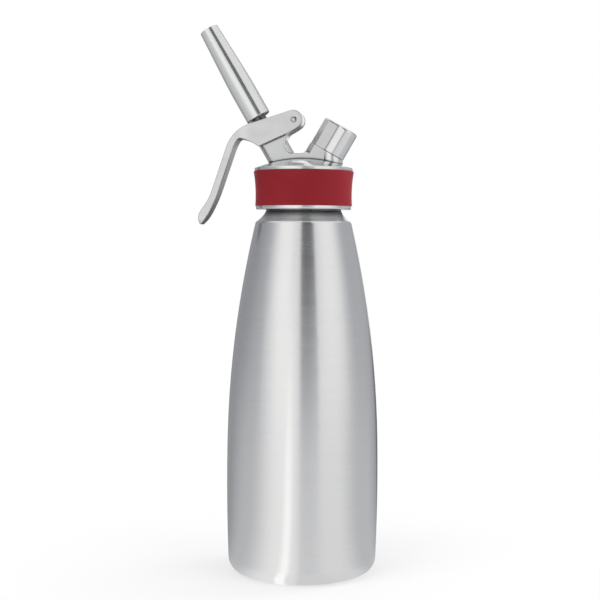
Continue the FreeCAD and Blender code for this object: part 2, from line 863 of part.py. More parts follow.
def make_port_bore():
    """What is bored out along the port's axis: charger bore, insert bore and check chamber."""
    insert_bore = size.insert_radius + size.insert_gap
    low = check_floor - 2 * size.check_chamber_radius
    corners = [
        (0, low),
        (size.check_chamber_radius, low),
        (size.check_chamber_radius, insert_bottom),
        (insert_bore, insert_bottom),
        (insert_bore, insert_ledge),
        (size.charger_bore_radius, insert_ledge),
        (size.charger_bore_radius, spigot_top + size.cut_margin),
        (0, spigot_top + size.cut_margin),
    ]
    return turned("port_bore", corners, port)


def make_head():
    """The head casting with its valve barrel, lever tongue and charging port, bored right through."""
    boss_radius = chamber_radius + size.seat_boss_wall
    boss_top = size.seat_height + size.seat_boss_length
    solids = [
        make_head_shell(),
        make_casting(),
        flat_sided_bar("barrel", valve, barrel_radius, casting_half, size.barrel_root, barrel_top),
        rod("seat_boss", valve, boss_radius, size.seat_height, boss_top),
        make_port_boss(),
    ]
    facets = [facet_cutter("facet_near", -1), facet_cutter("facet_far", 1)]
    faceted = cut("head_faceted", joined("head_solids", solids), facets)
    spigot = rod("spigot", port, spigot_radius, size.parting_height - size.spigot_root, spigot_top)
    pin_bore_radius = size.pin_radius + size.running_gap
    pin_bore = cross_rod("pin_bore", (pin_x, pin_z), pin_bore_radius, -lever_half, lever_half)
    bores = [make_valve_bore(), make_port_bore(), pin_bore]
    return cut("head", joined("head_whole", [faceted, spigot]), bores)


def make_heat_sleeve():
    """The silicone collar round the skirt, waisted like a spool."""
    bottom = sleeve_bottom + size.sleeve_gap
    top = sleeve_top - size.sleeve_gap
    waist = sleeve_bottom + size.sleeve_waist_height
    flare = size.sleeve_flare_radius
    rounding = size.sleeve_rounding

    def radius_at(height):
        rise = height - waist
        return skirt_radius + size.sleeve_waist + flare - root(flare * flare - rise * rise)

    low, high = bottom + rounding, top - rounding
    inner = skirt_radius + size.sleeve_gap
    corners = [
        (inner, bottom),
        (radius_at(low) - rounding, bottom, rounding),
        (radius_at(low), low, -flare),
        (radius_at(high), high, rounding),
        (radius_at(high) - rounding, top),
        (inner, top),
    ]
    return turned("heat_sleeve", corners)


def lever_outline():
    """The lever seen from the side, anticlockwise from the ear, with the places of its toe and its heel."""
    top, root_slope = size.lever_top_slope, size.ear_root_slope
    ear_top = (ear_x - size.ear_radius * sine(top), ear_z + size.ear_radius * cosine(top))
    ear_root = (ear_x + size.ear_radius * sine(root_slope), ear_z - size.ear_radius * cosine(root_slope))
    outside = Walk("lever_outside", ear_top, 180 + top)
    outside.straight(size.lever_top_length).bend(size.knuckle_radius, size.knuckle_turn)
    outside.straight(size.grip_length).bend(-size.grip_flare_radius, -size.grip_flare_turn)
    outside.straight(size.grip_flare_length).bend(size.toe_radius, size.toe_turn)
    inside = Walk(
        "lever_inside", (pin_x - size.grip_inner_x, pin_z - size.grip_inner_z), size.grip_inner_slope
    )
    inside.bend(size.grip_inner_radius, size.grip_inner_turn).straight(size.grip_inner_length)
    inside.bend(-size.grip_lead_radius, -size.grip_lead_turn).bend(-size.arch_radius, -size.arch_turn)
    under = Walk("lever_under", ear_root, 180 + root_slope)
    under.bend(-size.ear_root_radius, -size.ear_root_turn).straight(size.lever_under_length)
    toe, grip_inner = outside.places[-1], inside.places[0]
    arch, heel = inside.places[-1], under.places[-1]
    inner_radius = size.derived(
        "toe_inner_radius", tangent_radius(toe, grip_inner, size.grip_inner_slope, True)
    )
    under_radius = size.derived("arch_outer_radius", tangent_radius(arch, heel, inside.heading))
    corners = [
        *outside.corners()[:-1],
        (*toe, inner_radius),
        *inside.corners()[:-1],
        (*arch, under_radius),
        *under.corners_back()[:-1],
        (*ear_root, size.ear_radius),
    ]
    return corners, toe, heel


def narrow_grip(blank, toe_x):
    """Narrows the lever from the fork's width to the grip's, by an S-bend on each side."""
    half_run = (size.waist_end - size.waist_start) / 2
    half_step = size.grip_step / 2
    bend = size.derived("waist_radius", (half_run * half_run + half_step * half_step) / size.grip_step)
    start, end = pin_x - size.waist_start, pin_x - size.waist_end
    beyond, far_end = lever_half + size.cut_margin, toe_x - size.toe_radius
    for side, name in ((-1, "lever_side_near"), (1, "lever_side_far")):
        corners = [
            (start, side * lever_half, side * bend),
            (start - half_run, side * (lever_half - half_step), -side * bend),
            (end, side * grip_half),
            (far_end, side * grip_half),
            (far_end, side * beyond),
            (start, side * beyond),
        ]
        cut_through(blank, name, outline(blank, "XY_Plane", corners))


def round_toe(blank, toe_z):
    """Cuts the grip's end round, seen from in front of the lever."""
    lowest = toe_z - size.toe_drop
    middle = lowest + grip_half
    beyond = lever_half + size.cut_margin
    corners = [
        (-grip_half, middle, grip_half),
        (0, lowest, grip_half),
        (grip_half, middle),
        (beyond, middle),
        (beyond, lowest - size.cut_margin),
        (-beyond, lowest - size.cut_margin),
        (-beyond, middle),
    ]
    cut_through(blank, "lever_toe", outline(blank, "YZ_Plane", corners))


def cut_through(body, name, sketch):
    """Cuts a sketch's outline right through a body, both ways from the sketch."""
    pocket = body.newObject("PartDesign::Pocket", name)
    pocket.Profile = sketch
    pocket.Type = "ThroughAll"
    pocket.SideType = "Symmetric"


def make_lever():
    """The forked lever: two ears that straddle the casting, joined by a web in front of the barrel."""
    corners, toe, heel = lever_outline()
    blank = plate("lever_blank", corners, 2 * lever_half)
    narrow_grip(blank, toe[0])
    round_toe(blank, toe[1])
    rounded(blank, size.lever_corner_rounding, crosses_at(heel))
    at_toe = crosses_at(toe)
    rounded(blank, size.lever_rounding, lambda edge: is_rim_of_side(edge) or at_toe(edge))
    slot_end = barrel_radius + size.web_clearance
    chord = root(slot_end * slot_end - ear_inner * ear_inner)
    reach = size.lever_arm + 2 * size.ear_radius
    slot_corners = [
        (-chord, -ear_inner),
        (reach, -ear_inner),
        (reach, ear_inner),
        (-chord, ear_inner, slot_end),
    ]
    slot = prism("lever_slot", slot_corners, valve, spring_floor, nozzle_base + size.lever_arm)
    forked = cut("lever_forked", blank, [slot])
    nose_place = valve.point(collar_top + size.nose_play + size.nose_radius)
    inside = ear_inner - size.nose_reach
    within = (ear_inner + lever_half) / 2
    noses = [
        cross_rod("nose_near", nose_place, size.nose_radius, -within, -inside),
        cross_rod("nose_far", nose_place, size.nose_radius, inside, within),
    ]
    hole_radius = size.pin_radius + size.press_gap
    beyond = lever_half + size.cut_margin
    pin_hole = cross_rod("lever_pin_hole", (pin_x, pin_z), hole_radius, -beyond, beyond)
    return cut("lever", joined("lever_solids", [forked, *noses]), [pin_hole])


def make_lever_pin():
    """The pivot pin, pressed into the ears, with shallow domed ends that stand a little proud."""
    end = lever_half + size.pin_stand
    shank = end - size.pin_dome
    dome = (size.pin_radius * size.pin_radius + size.pin_dome * size.pin_dome) / (2 * size.pin_dome)
    corners = [(0, -end, dome), (size.pin_radius, -shank), (size.pin_radius, shank, dome), (0, end)]
    pin = turned("lever_pin", corners)
    lay_across(pin, (pin_x, pin_z), 0)
    return pin


def make_valve_stem():
    """The hollow stem: foot, waist with side ports, grooved shank and threaded head."""
    foot_radius = chamber_radius + size.foot_step
    foot_top = size.seat_height - size.running_gap - size.foot_gasket_thickness
    groove_floor = size.stem_radius - size.o_ring_thickness
    clip_floor = size.stem_radius - size.clip_depth
    waist_top = chamber_top - size.running_gap
    blind = size.seat_height + size.stem_blind_rise
    corners = [
        (0, foot_top - size.foot_thickness),
        (foot_radius, foot_top - size.foot_thickness),
        (foot_radius, foot_top),
        (size.stem_waist_radius, foot_top),
        (size.stem_waist_radius, waist_top),
        (size.stem_radius, waist_top),
    ]
    for middle in o_ring_heights():
        corners += [
            (size.stem_radius, middle - groove_height / 2),
            (groove_floor, middle - groove_height / 2),
            (groove_floor, middle + groove_height / 2),
            (size.stem_radius, middle + groove_height / 2),
        ]
    corners += [
        (size.stem_radius, collar_top),
        (clip_floor, collar_top),
        (clip_floor, collar_top + size.clip_thickness),
        (size.stem_radius, collar_top + size.clip_thickness),
        (size.stem_radius, stem_top - size.stem_chamfer),
        (size.stem_radius - size.stem_chamfer, stem_top),
        (size.stem_bore_radius, stem_top),
        (size.stem_bore_radius, blind),
        (0, blind),
    ]
    blank = turned("stem_blank", corners, valve)
    middle = size.seat_height + size.stem_port_rise
    along_y = cross_rod(
        "side_port_y", valve.point(middle), size.stem_port_radius, -size.stem_radius, size.stem_radius
    )
    along_x = doc.addObject("Part::Cylinder", "side_port_x")
    bind(along_x, Radius=size.stem_port_radius, Height=2 * size.stem_radius)
    valve.place(along_x, middle, -size.stem_radius, turn=90)
    return cut("valve_stem", blank, [along_y, along_x])


def o_ring_heights():
    """The middles of the stem's two O-rings, in the guide between the chamber and the spring's floor."""
    lower = chamber_top + size.o_ring_edge + groove_height / 2
    return [lower, lower + size.o_ring_pitch]


def make_foot_gasket():
    """The silicone ring on the stem's foot that closes on the seat from below."""
    top = size.seat_height - size.running_gap
    outer = chamber_radius + size.foot_gasket_step
    return ring("foot_gasket", valve, size.stem_waist_radius, outer, top - size.foot_gasket_thickness, top)


def make_stem_o_rings():
    """The two O-rings in the stem's grooves."""
    half = size.o_ring_thickness / 2
    rings = []
    for number, middle in enumerate(o_ring_heights(), start=1):
        torus = doc.addObject("Part::Torus", f"o_ring_{number}")
        bind(torus, Radius1=size.stem_radius - half, Radius2=half)
        valve.place(torus, middle)
        rings.append(torus)
    pair = doc.addObject("Part::Compound", "stem_o_rings")
    pair.Links = rings
    pair.Label = "stem_o_rings"
    return pair


def make_spring_washer():
    """The washer on the spring bore's floor."""
    outer = spring_bore - size.running_gap
    top = spring_floor + size.spring_washer_thickness
    return ring("spring_washer", valve, guide_radius, outer, spring_floor, top)


def make_valve_spring():
    """The spring that lifts the stem, between the washer and the lever's collar."""
    wire = size.spring_wire_radius
    bottom = spring_floor + size.spring_washer_thickness + wire
    return coil("valve_spring", valve, spring_radius, wire, bottom, collar_bottom - wire, size.spring_turns)


def make_lever_collar():
    """The collar on the stem that the lever's noses press."""
    bore = size.stem_radius + size.press_gap
    return ring("lever_collar", valve, bore, spring_bore + size.collar_step, collar_bottom, collar_top)


def make_stem_clip():
    """The open clip in the stem's groove that holds the collar down."""
    inner = size.stem_radius - size.clip_depth
    outer = size.stem_radius + size.clip_width
    top = collar_top + size.clip_thickness
    return ring("stem_clip", valve, inner, outer, collar_top, top, 360 - size.clip_opening)


def make_nozzle_seal():
    """The ring that the nozzle squeezes on the top of the stem."""
    bottom = stem_top + size.running_gap
    inner = size.stem_bore_radius + size.running_gap
    top = bottom + size.nozzle_seal_thickness
    return ring("nozzle_seal", valve, inner, inner + size.nozzle_seal_width, bottom, top)


def make_nozzle():
    """The screw-on nozzle: a plain tube that tapers to its open tip, with a shoulder over the seal."""
    socket = size.stem_radius + size.nozzle_thread_gap
    outer = size.stem_radius + size.nozzle_wall
    shoulder = stem_top + 2 * size.running_gap + size.nozzle_seal_thickness
    shoulder_top = shoulder + size.nozzle_shoulder_thickness
    taper_start = nozzle_base + size.nozzle_plain_length
    taper_end = taper_start + size.nozzle_taper_length
    bend, run = size.nozzle_taper_radius, size.nozzle_taper_length
    taper_drop = bend - root(bend * bend - run * run)
    tip = nozzle_base + size.nozzle_length
    tip_radius = size.nozzle_bore_radius + size.nozzle_tip_wall
    corners = [
        (socket, nozzle_base),
        (outer - size.nozzle_base_rounding, nozzle_base, size.nozzle_base_rounding),
        (outer, nozzle_base + size.nozzle_base_rounding),
        (outer, taper_start, bend),
        (outer - taper_drop, taper_end),
        (tip_radius, tip - size.nozzle_tip_rounding, size.nozzle_tip_rounding),
        (tip_radius - size.nozzle_tip_rounding, tip),
        (size.nozzle_bore_radius, tip),
        (size.nozzle_bore_radius, shoulder_top),
        (size.nozzle_shoulder_radius, shoulder_top),
        (size.nozzle_shoulder_radius, shoulder),
        (socket, shoulder),
    ]
    return turned("nozzle", corners, valve)


def make_charging_valve():
    """The brass insert screwed down the port, with a cone below for the check ball."""
    flange_radius = size.charger_bore_radius - size.insert_gap
    needle_hole = size.needle_radius + size.press_gap
    needle_bottom = insert_ledge - size.needle_depth
    corners = [
        (size.gas_bore_radius + size.ball_seat_depth, insert_bottom),
        (size.insert_radius, insert_bottom),
        (size.insert_radius, insert_ledge),
        (flange_radius, insert_ledge),
        (flange_radius, flange_top),
        (needle_hole, flange_top),
        (needle_hole, needle_bottom),
        (size.gas_bore_radius, needle_bottom),
        (size.gas_bore_radius, insert_bottom + size.ball_seat_depth),
    ]
    return turned("charging_valve", corners, port)


def make_piercing_pin():
    """The hollow needle that opens the charger."""
    needle_bottom = insert_ledge - size.needle_depth
    shoulder = insert_ledge + size.needle_reach
    corners = [
        (size.needle_bore_radius, needle_bottom),
        (size.needle_radius, needle_bottom),
        (size.needle_radius, shoulder),
        (size.needle_bore_radius + size.running_gap, shoulder + size.needle_point),
        (size.needle_bore_radius, shoulder + size.needle_point),
    ]
    return turned("piercing_pin", corners, port)


def make_charger_seal():
    """The seal on the insert's flange that the charger's neck closes on."""
    inner = size.needle_radius + size.running_gap
    outer = size.charger_bore_radius - size.insert_gap
    return ring("charger_seal", port, inner, outer, flange_top, flange_top + size.charger_seal_thickness)


def check_ball_height():
    """The middle of the check ball, its play below the place where it meets the insert's cone."""
    mouth = size.gas_bore_radius + size.ball_seat_depth
    return insert_bottom - root(size.ball_radius * size.ball_radius - mouth * mouth) - size.ball_play


def make_check_ball():
    """The ball that the spring holds up to the insert's cone."""
    ball = doc.addObject("Part::Sphere", "check_ball")
    bind(ball, Radius=size.ball_radius)
    port.place(ball, check_ball_height())
    return ball


def make_check_retainer():
    """The perforated plug below the check spring."""
    bottom = check_floor + size.running_gap
    outer = size.check_chamber_radius - size.running_gap
    top = bottom + size.check_retainer_thickness
    return ring("check_retainer", port, size.check_hole_radius, outer, bottom, top)


def make_check_spring():
    """The small spring between the perforated plug and the ball."""
    wire = size.check_wire_radius
    radius = size.check_spring_radius
    plug_top = check_floor + size.running_gap + size.check_retainer_thickness
    cradle = root(size.ball_radius * size.ball_radius - radius * radius)
    top = check_ball_height() - cradle - 2 * wire
    return coil("check_spring", port, radius, wire, plug_top + wire, top, size.check_spring_turns)


def make_cap_lobe(body):
    """The round part of the cap's outline, about the port's axis."""
    lobe = body.newObject("Sketcher::SketchObject", "cap_lobe")
    lobe.AttachmentSupport = [(plane_of(body, "XY_Plane"), "")]
    lobe.MapMode = "FlatFace"
    centre = FreeCAD.Vector(0, 0, 0)
    lobe.addGeometry(Part.Circle(centre, FreeCAD.Vector(0, 0, 1), lobe_radius.value), False)
    lobe.addConstraint(Sketcher.Constraint("Coincident", 0, 3, -1, 1))
    lobe.addConstraint(Sketcher.Constraint("Radius", 0, lobe_radius.value))
    lobe.renameConstraint(1, "lobe")
    lobe.setExpression("Constraints.lobe", lobe_radius.formula)
    return lobe


def make_cap():
    """The keyhole-shaped cap over the port: a round lobe, a flat-sided fin with two facets, hollow inside."""
    bottom = size.parting_height + size.parting_gap
    seal_top = spigot_top + 2 * size.running_gap + size.cap_seal_thickness
    height = size.derived("cap_height", seal_top + size.cap_crown - bottom)
    reach = size.fin_reach - size.cap_set_in
    narrow = casting_half - size.facet_width
    body = new_body("cap_blank", port, bottom)
    fin_corners = [
        (0, -casting_half),
        (0, casting_half),
        (size.facet_width - reach, casting_half),
        (-reach, narrow),
        (-reach, -narrow),
        (size.facet_width - reach, -casting_half),
    ]
    for sketch in (make_cap_lobe(body), outline(body, "XY_Plane", fin_corners)):
        pad = body.newObject("PartDesign::Pad", f"{sketch.Name}_pad")
        pad.Profile = sketch
        bind(pad, Length=height)
    rounded(body, size.cap_rounding, lambda edge: lies_at_height(edge, height.value))
    bore = rod("cap_bore", port, spigot_radius + size.cap_gap, bottom - size.cut_margin, seal_top)
    return cut("protective_cap", body, [bore])


def make_cap_seal():
    """The ring inside the cap that closes on the port's end."""
    outer = spigot_radius + size.cap_gap - size.cap_seal_gap
    bottom = spigot_top + size.running_gap
    top = bottom + size.cap_seal_thickness
    return ring("cap_seal", port, outer - size.cap_seal_width, outer, bottom, top)


nodes = [
    make_bottle(),
    make_thread_ring(),
    make_head_gasket(),
    make_head(),
    make_heat_sleeve(),
    make_lever(),
    make_lever_pin(),
    make_valve_stem(),
    make_foot_gasket(),
    make_stem_o_rings(),
    make_spring_washer(),
    make_valve_spring(),
    make_lever_collar(),
    make_stem_clip(),
    make_nozzle_seal(),
    make_nozzle(),
    make_charging_valve(),
    make_piercing_pin(),
    make_charger_seal(),
    make_check_ball(),
    make_check_retainer(),
    make_check_spring(),
    make_cap(),
    make_cap_seal(),
]

doc.recompute()

for thing in doc.Objects:
    if "Invalid" in thing.State or "Error" in thing.State:
        raise RuntimeError(f"{thing.Name} did not build: {thing.State}")
for node in nodes:
    if node.Shape.isNull() or not node.Shape.isValid() or not node.Shape.Solids:
        raise RuntimeError(f"{node.Label} has no valid solid")

os.makedirs("parts", exist_ok=True)
for node in nodes:
    node.Shape.exportStep(f"parts/{node.Label}.step")
    print(f"{node.Label}: {len(node.Shape.Solids)} solid, {node.Shape.Volume / 1000:.2f} cm3")
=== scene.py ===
"""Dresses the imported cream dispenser: its finishes, screw threads, springs and turned pin."""

import logging
import math
from dataclasses import dataclass
from enum import Enum
from functools import cached_property
from typing import ClassVar, Mapping, Sequence

import bmesh
import bpy
from mathutils import Matrix, Vector


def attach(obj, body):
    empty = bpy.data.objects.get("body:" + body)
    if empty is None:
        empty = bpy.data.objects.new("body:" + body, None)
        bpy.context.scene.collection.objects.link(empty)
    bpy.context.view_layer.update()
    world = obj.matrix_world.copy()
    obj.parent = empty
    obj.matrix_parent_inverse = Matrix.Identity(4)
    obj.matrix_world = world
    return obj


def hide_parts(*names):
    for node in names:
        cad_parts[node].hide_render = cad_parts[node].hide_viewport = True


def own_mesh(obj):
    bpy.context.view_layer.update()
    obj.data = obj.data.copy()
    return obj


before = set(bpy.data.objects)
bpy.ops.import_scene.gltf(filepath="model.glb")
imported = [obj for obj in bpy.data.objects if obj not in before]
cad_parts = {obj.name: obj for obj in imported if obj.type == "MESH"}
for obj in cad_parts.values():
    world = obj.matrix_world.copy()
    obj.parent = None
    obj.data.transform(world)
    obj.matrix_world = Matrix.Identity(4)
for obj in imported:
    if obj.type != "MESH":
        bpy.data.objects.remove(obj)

MM = 0.001
SHARP_ANGLE = math.radians(32.0)
log = logging.getLogger("dispenser")

Place = Colour = tuple[float, float, float]
Outline = Sequence[tuple[float, float]]
Node, Socket = bpy.types.Node, bpy.types.NodeSocket
Sockets = Mapping[str, Socket]
Piece, Material = bpy.types.Object, bpy.types.Material
# Dark used for parting lines, which are real joints, and for painted shade in creases and along
# steps.
JOINT_AND_SHADE_DARK: Colour = (0.035, 0.036, 0.038)
WHITE: Colour = (1.0, 1.0, 1.0)


class Ride(Enum):
    """The moving bodies that new pieces ride on."""

    BOTTLE = "bottle"
    HEAD = "head"
    LEVER = "lever"
    STEM = "stem"


class Run(Enum):
    """The directions that axes run in, marks are stacked along and thin lines lie across."""

    UPRIGHT = (0.0, 0.0, 1.0)
    VALVE = (-0.5, 0.0, 0.8660254)
    PORT = (0.5, 0.0, 0.8660254)
    PORT_INWARD = (-0.8660254, 0.0, 0.5)
    PLATE_END = (0.99504, 0.0, -0.0995)
    ACROSS = (0.0, 1.0, 0.0)


@dataclass(frozen=True)
class Axis:
    """A straight axis of the object.

    Attributes:
        origin: a point on it, in millimetres.
        run: the direction that it runs in.
    """

    origin: Place
    run: Run

    def direction(self) -> Vector:
        """The axis's unit direction."""
        return Vector(self.run.value).normalized()

    def point(self, along: float, radius: float = 0.0, angle: float = 0.0) -> Vector:
        """A point beside the axis.

        Args:
            along: distance along the axis, in millimetres.
            radius: distance from the axis, in millimetres.
            angle: angle round the axis, in radians.

        Returns:
            The point in metres.
        """
        up = self.direction()
        back = Vector((Run.UPRIGHT if self.run is Run.ACROSS else Run.ACROSS).value)
        side = back.cross(up)
        offset = side * math.cos(angle) + back * math.sin(angle)
        return (Vector(self.origin) + up * along + offset * radius) * MM


UPRIGHT_AXIS = Axis((0.0, 0.0, 0.0), Run.UPRIGHT)
VALVE_AXIS = Axis((0.0, 0.0, 244.3), Run.VALVE)
PORT_AXIS = Axis((0.0, 0.0, 240.4), Run.PORT)
PIN_AXIS = Axis((-5.648, 0.0, 293.463), Run.ACROSS)


# ---- node trees


class Graph:
    """A shader node tree, with short ways to add what the finishes and the room need."""

    def __init__(self, tree: bpy.types.NodeTree) -> None:
        """Takes the tree that the nodes go in."""
        self.tree = tree

    def node(self, kind: str) -> Node:
        """Adds a shader node of a kind, such as Math."""
        return self.tree.nodes.new("ShaderNode" + kind)

    def put(self, value: object, socket: Socket) -> None:
        """Links an output to an input, or sets the input to a plain value.

        Args:
            value: the output or the plain value.
            socket: the input.
        """
        if isinstance(value, Socket):
            self.tree.links.new(value, socket)
        else:
            socket.default_value = value

    def fill(self, node: Node, **values: object) -> Node:
        """Gives several inputs of a node their values.

        Args:
            node: the node.
            **values: the values, with underscores for the spaces in the inputs' names.

        Returns:
            The node.
        """
        for label, value in values.items():
            self.put(value, node.inputs[label.replace("_", " ")])
        return node

    def use(self, group: "Group", **values: object) -> Sockets:
        """Places a shared group.

        Args:
            group: the group.
            **values: its inputs, with underscores for the spaces in their names.

        Returns:
            The outputs of the group's node.
        """
        node = self.node("Group")
        node.node_tree = group.tree
        return self.fill(node, **values).outputs

    def place(self) -> Socket:
        """The point on the surface, in metres."""
        return self.node("TexCoord").outputs["Object"]

    def parts(self, vector: Socket) -> Sockets:
        """The X, Y and Z of a vector."""
        return self.fill(self.node("SeparateXYZ"), Vector=vector).outputs

    def maths(self, operation: str, *values: object, kind: str = "Math", out: int = 0) -> Socket:
        """A Math or VectorMath node.

        Args:
            operation: the node's operation.
            *values: its inputs in order, each an output or a plain value.
            kind: Math or VectorMath.
            out: which output is wanted.

        Returns:
            That output.
        """
        node = self.node(kind)
        node.operation = operation
        for socket, value in zip(node.inputs, values):
            self.put(value, socket)
        return node.outputs[out]

    def vectors(self, operation: str, *values: object) -> Socket:
        """The vector of a VectorMath node."""
        return self.maths(operation, *values, kind="VectorMath")

    def along(self, vector: Socket, direction: object) -> Socket:
        """How far a vector reaches along a direction."""
        return self.maths("DOT_PRODUCT", vector, direction, kind="VectorMath", out=1)

    def length(self, vector: Socket) -> Socket:
        """How long a vector is."""
        return self.maths("LENGTH", vector, kind="VectorMath", out=1)

    def off(self, value: Socket, middle: object) -> Socket:
        """How far a value is from a middle, either way."""
        return self.maths("ABSOLUTE", self.maths("SUBTRACT", value, middle))

    def toward(self, start: object, end: object, share: Socket) -> Socket:
        """A value that goes from start to end with a share."""
        return self.maths("MULTIPLY_ADD", self.maths("SUBTRACT", end, start), share, start)

    def straight(self, ray: Sockets) -> Socket:
        """Whether a ray comes straight from the camera or through glass."""
        return self.maths("MAXIMUM", ray["Is Camera Ray"], ray["Is Transmission Ray"])

    def noise(self, place: Socket, scale: float, detail: float, roughness: float) -> Socket:
        """A Noise Texture's value, mostly between 0.2 and 0.8.

        Args:
            place: the coordinates.
            scale: how many features a unit holds.
            detail: how many finer layers it has.
            roughness: how strong the finer layers are.

        Returns:
            The value.
        """
        node = self.node("TexNoise")
        self.fill(node, Vector=place, Scale=scale, Detail=detail, Roughness=roughness)
        return node.outputs["Fac"]

    def spread(
        self, value: Socket, low: float, high: float,
        to_low: float = 0.0, to_high: float = 1.0, smooth: bool = False,
    ) -> Socket:
        """A Map Range node.

        Args:
            value: the value to spread.
            low: the value that becomes to_low.
            high: the value that becomes to_high.
            to_low: the result at low.
            to_high: the result at high.
            smooth: whether it eases in and out.

        Returns:
            The spread value, held within its range.
        """
        node = self.node("MapRange")
        node.interpolation_type = "SMOOTHSTEP" if smooth else "LINEAR"
        self.fill(node, Value=value, From_Min=low, From_Max=high, To_Min=to_low, To_Max=to_high)
        return node.outputs["Result"]

    def tint(self, mask: Socket, one: object, other: object) -> Socket:
        """A colour that goes from one to the other with a mask.

        Args:
            mask: the mask.
            one: the colour where the mask is 0, an output or a plain colour.
            other: the colour where it is 1.

        Returns:
            The mixed colour.
        """
        node = self.node("Mix")
        node.data_type = "RGBA"
        self.put(mask, node.inputs["Factor"])
        for label, colour in (("A", one), ("B", other)):
            self.put(colour if isinstance(colour, Socket) else (*colour, 1.0), node.inputs[label])
        return node.outputs["Result"]


class Group(Graph):
    """A shader node group that several materials share.

    Attributes:
        given: the values that come in, by name.
        out: the node that takes what goes out.
    """

    def __init__(
        self, name: str, outputs: Sequence[str], kind: str = "NodeSocketFloat", **inputs: object
    ) -> None:
        """Makes the group with its sockets.

        Args:
            name: the group's name.
            outputs: the names of its outputs.
            kind: the outputs' socket type.
            **inputs: its inputs' defaults, with underscores for the spaces in their names.
        """
        super().__init__(bpy.data.node_groups.new(name, "ShaderNodeTree"))
        for label, default in inputs.items():
            form = "NodeSocketVector" if isinstance(default, tuple) else "NodeSocketFloat"
            label = label.replace("_", " ")
            socket = self.tree.interface.new_socket(label, in_out="INPUT", socket_type=form)
            socket.default_value = default
        for label in outputs:
            self.tree.interface.new_socket(label, in_out="OUTPUT", socket_type=kind)
        self.given = self.tree.nodes.new("NodeGroupInput").outputs
        self.out = self.tree.nodes.new("NodeGroupOutput")

    def give(self, **values: Socket) -> "Group":
        """Links values to the outputs of the same names and returns the group."""
        self.fill(self.out, **values)
        return self


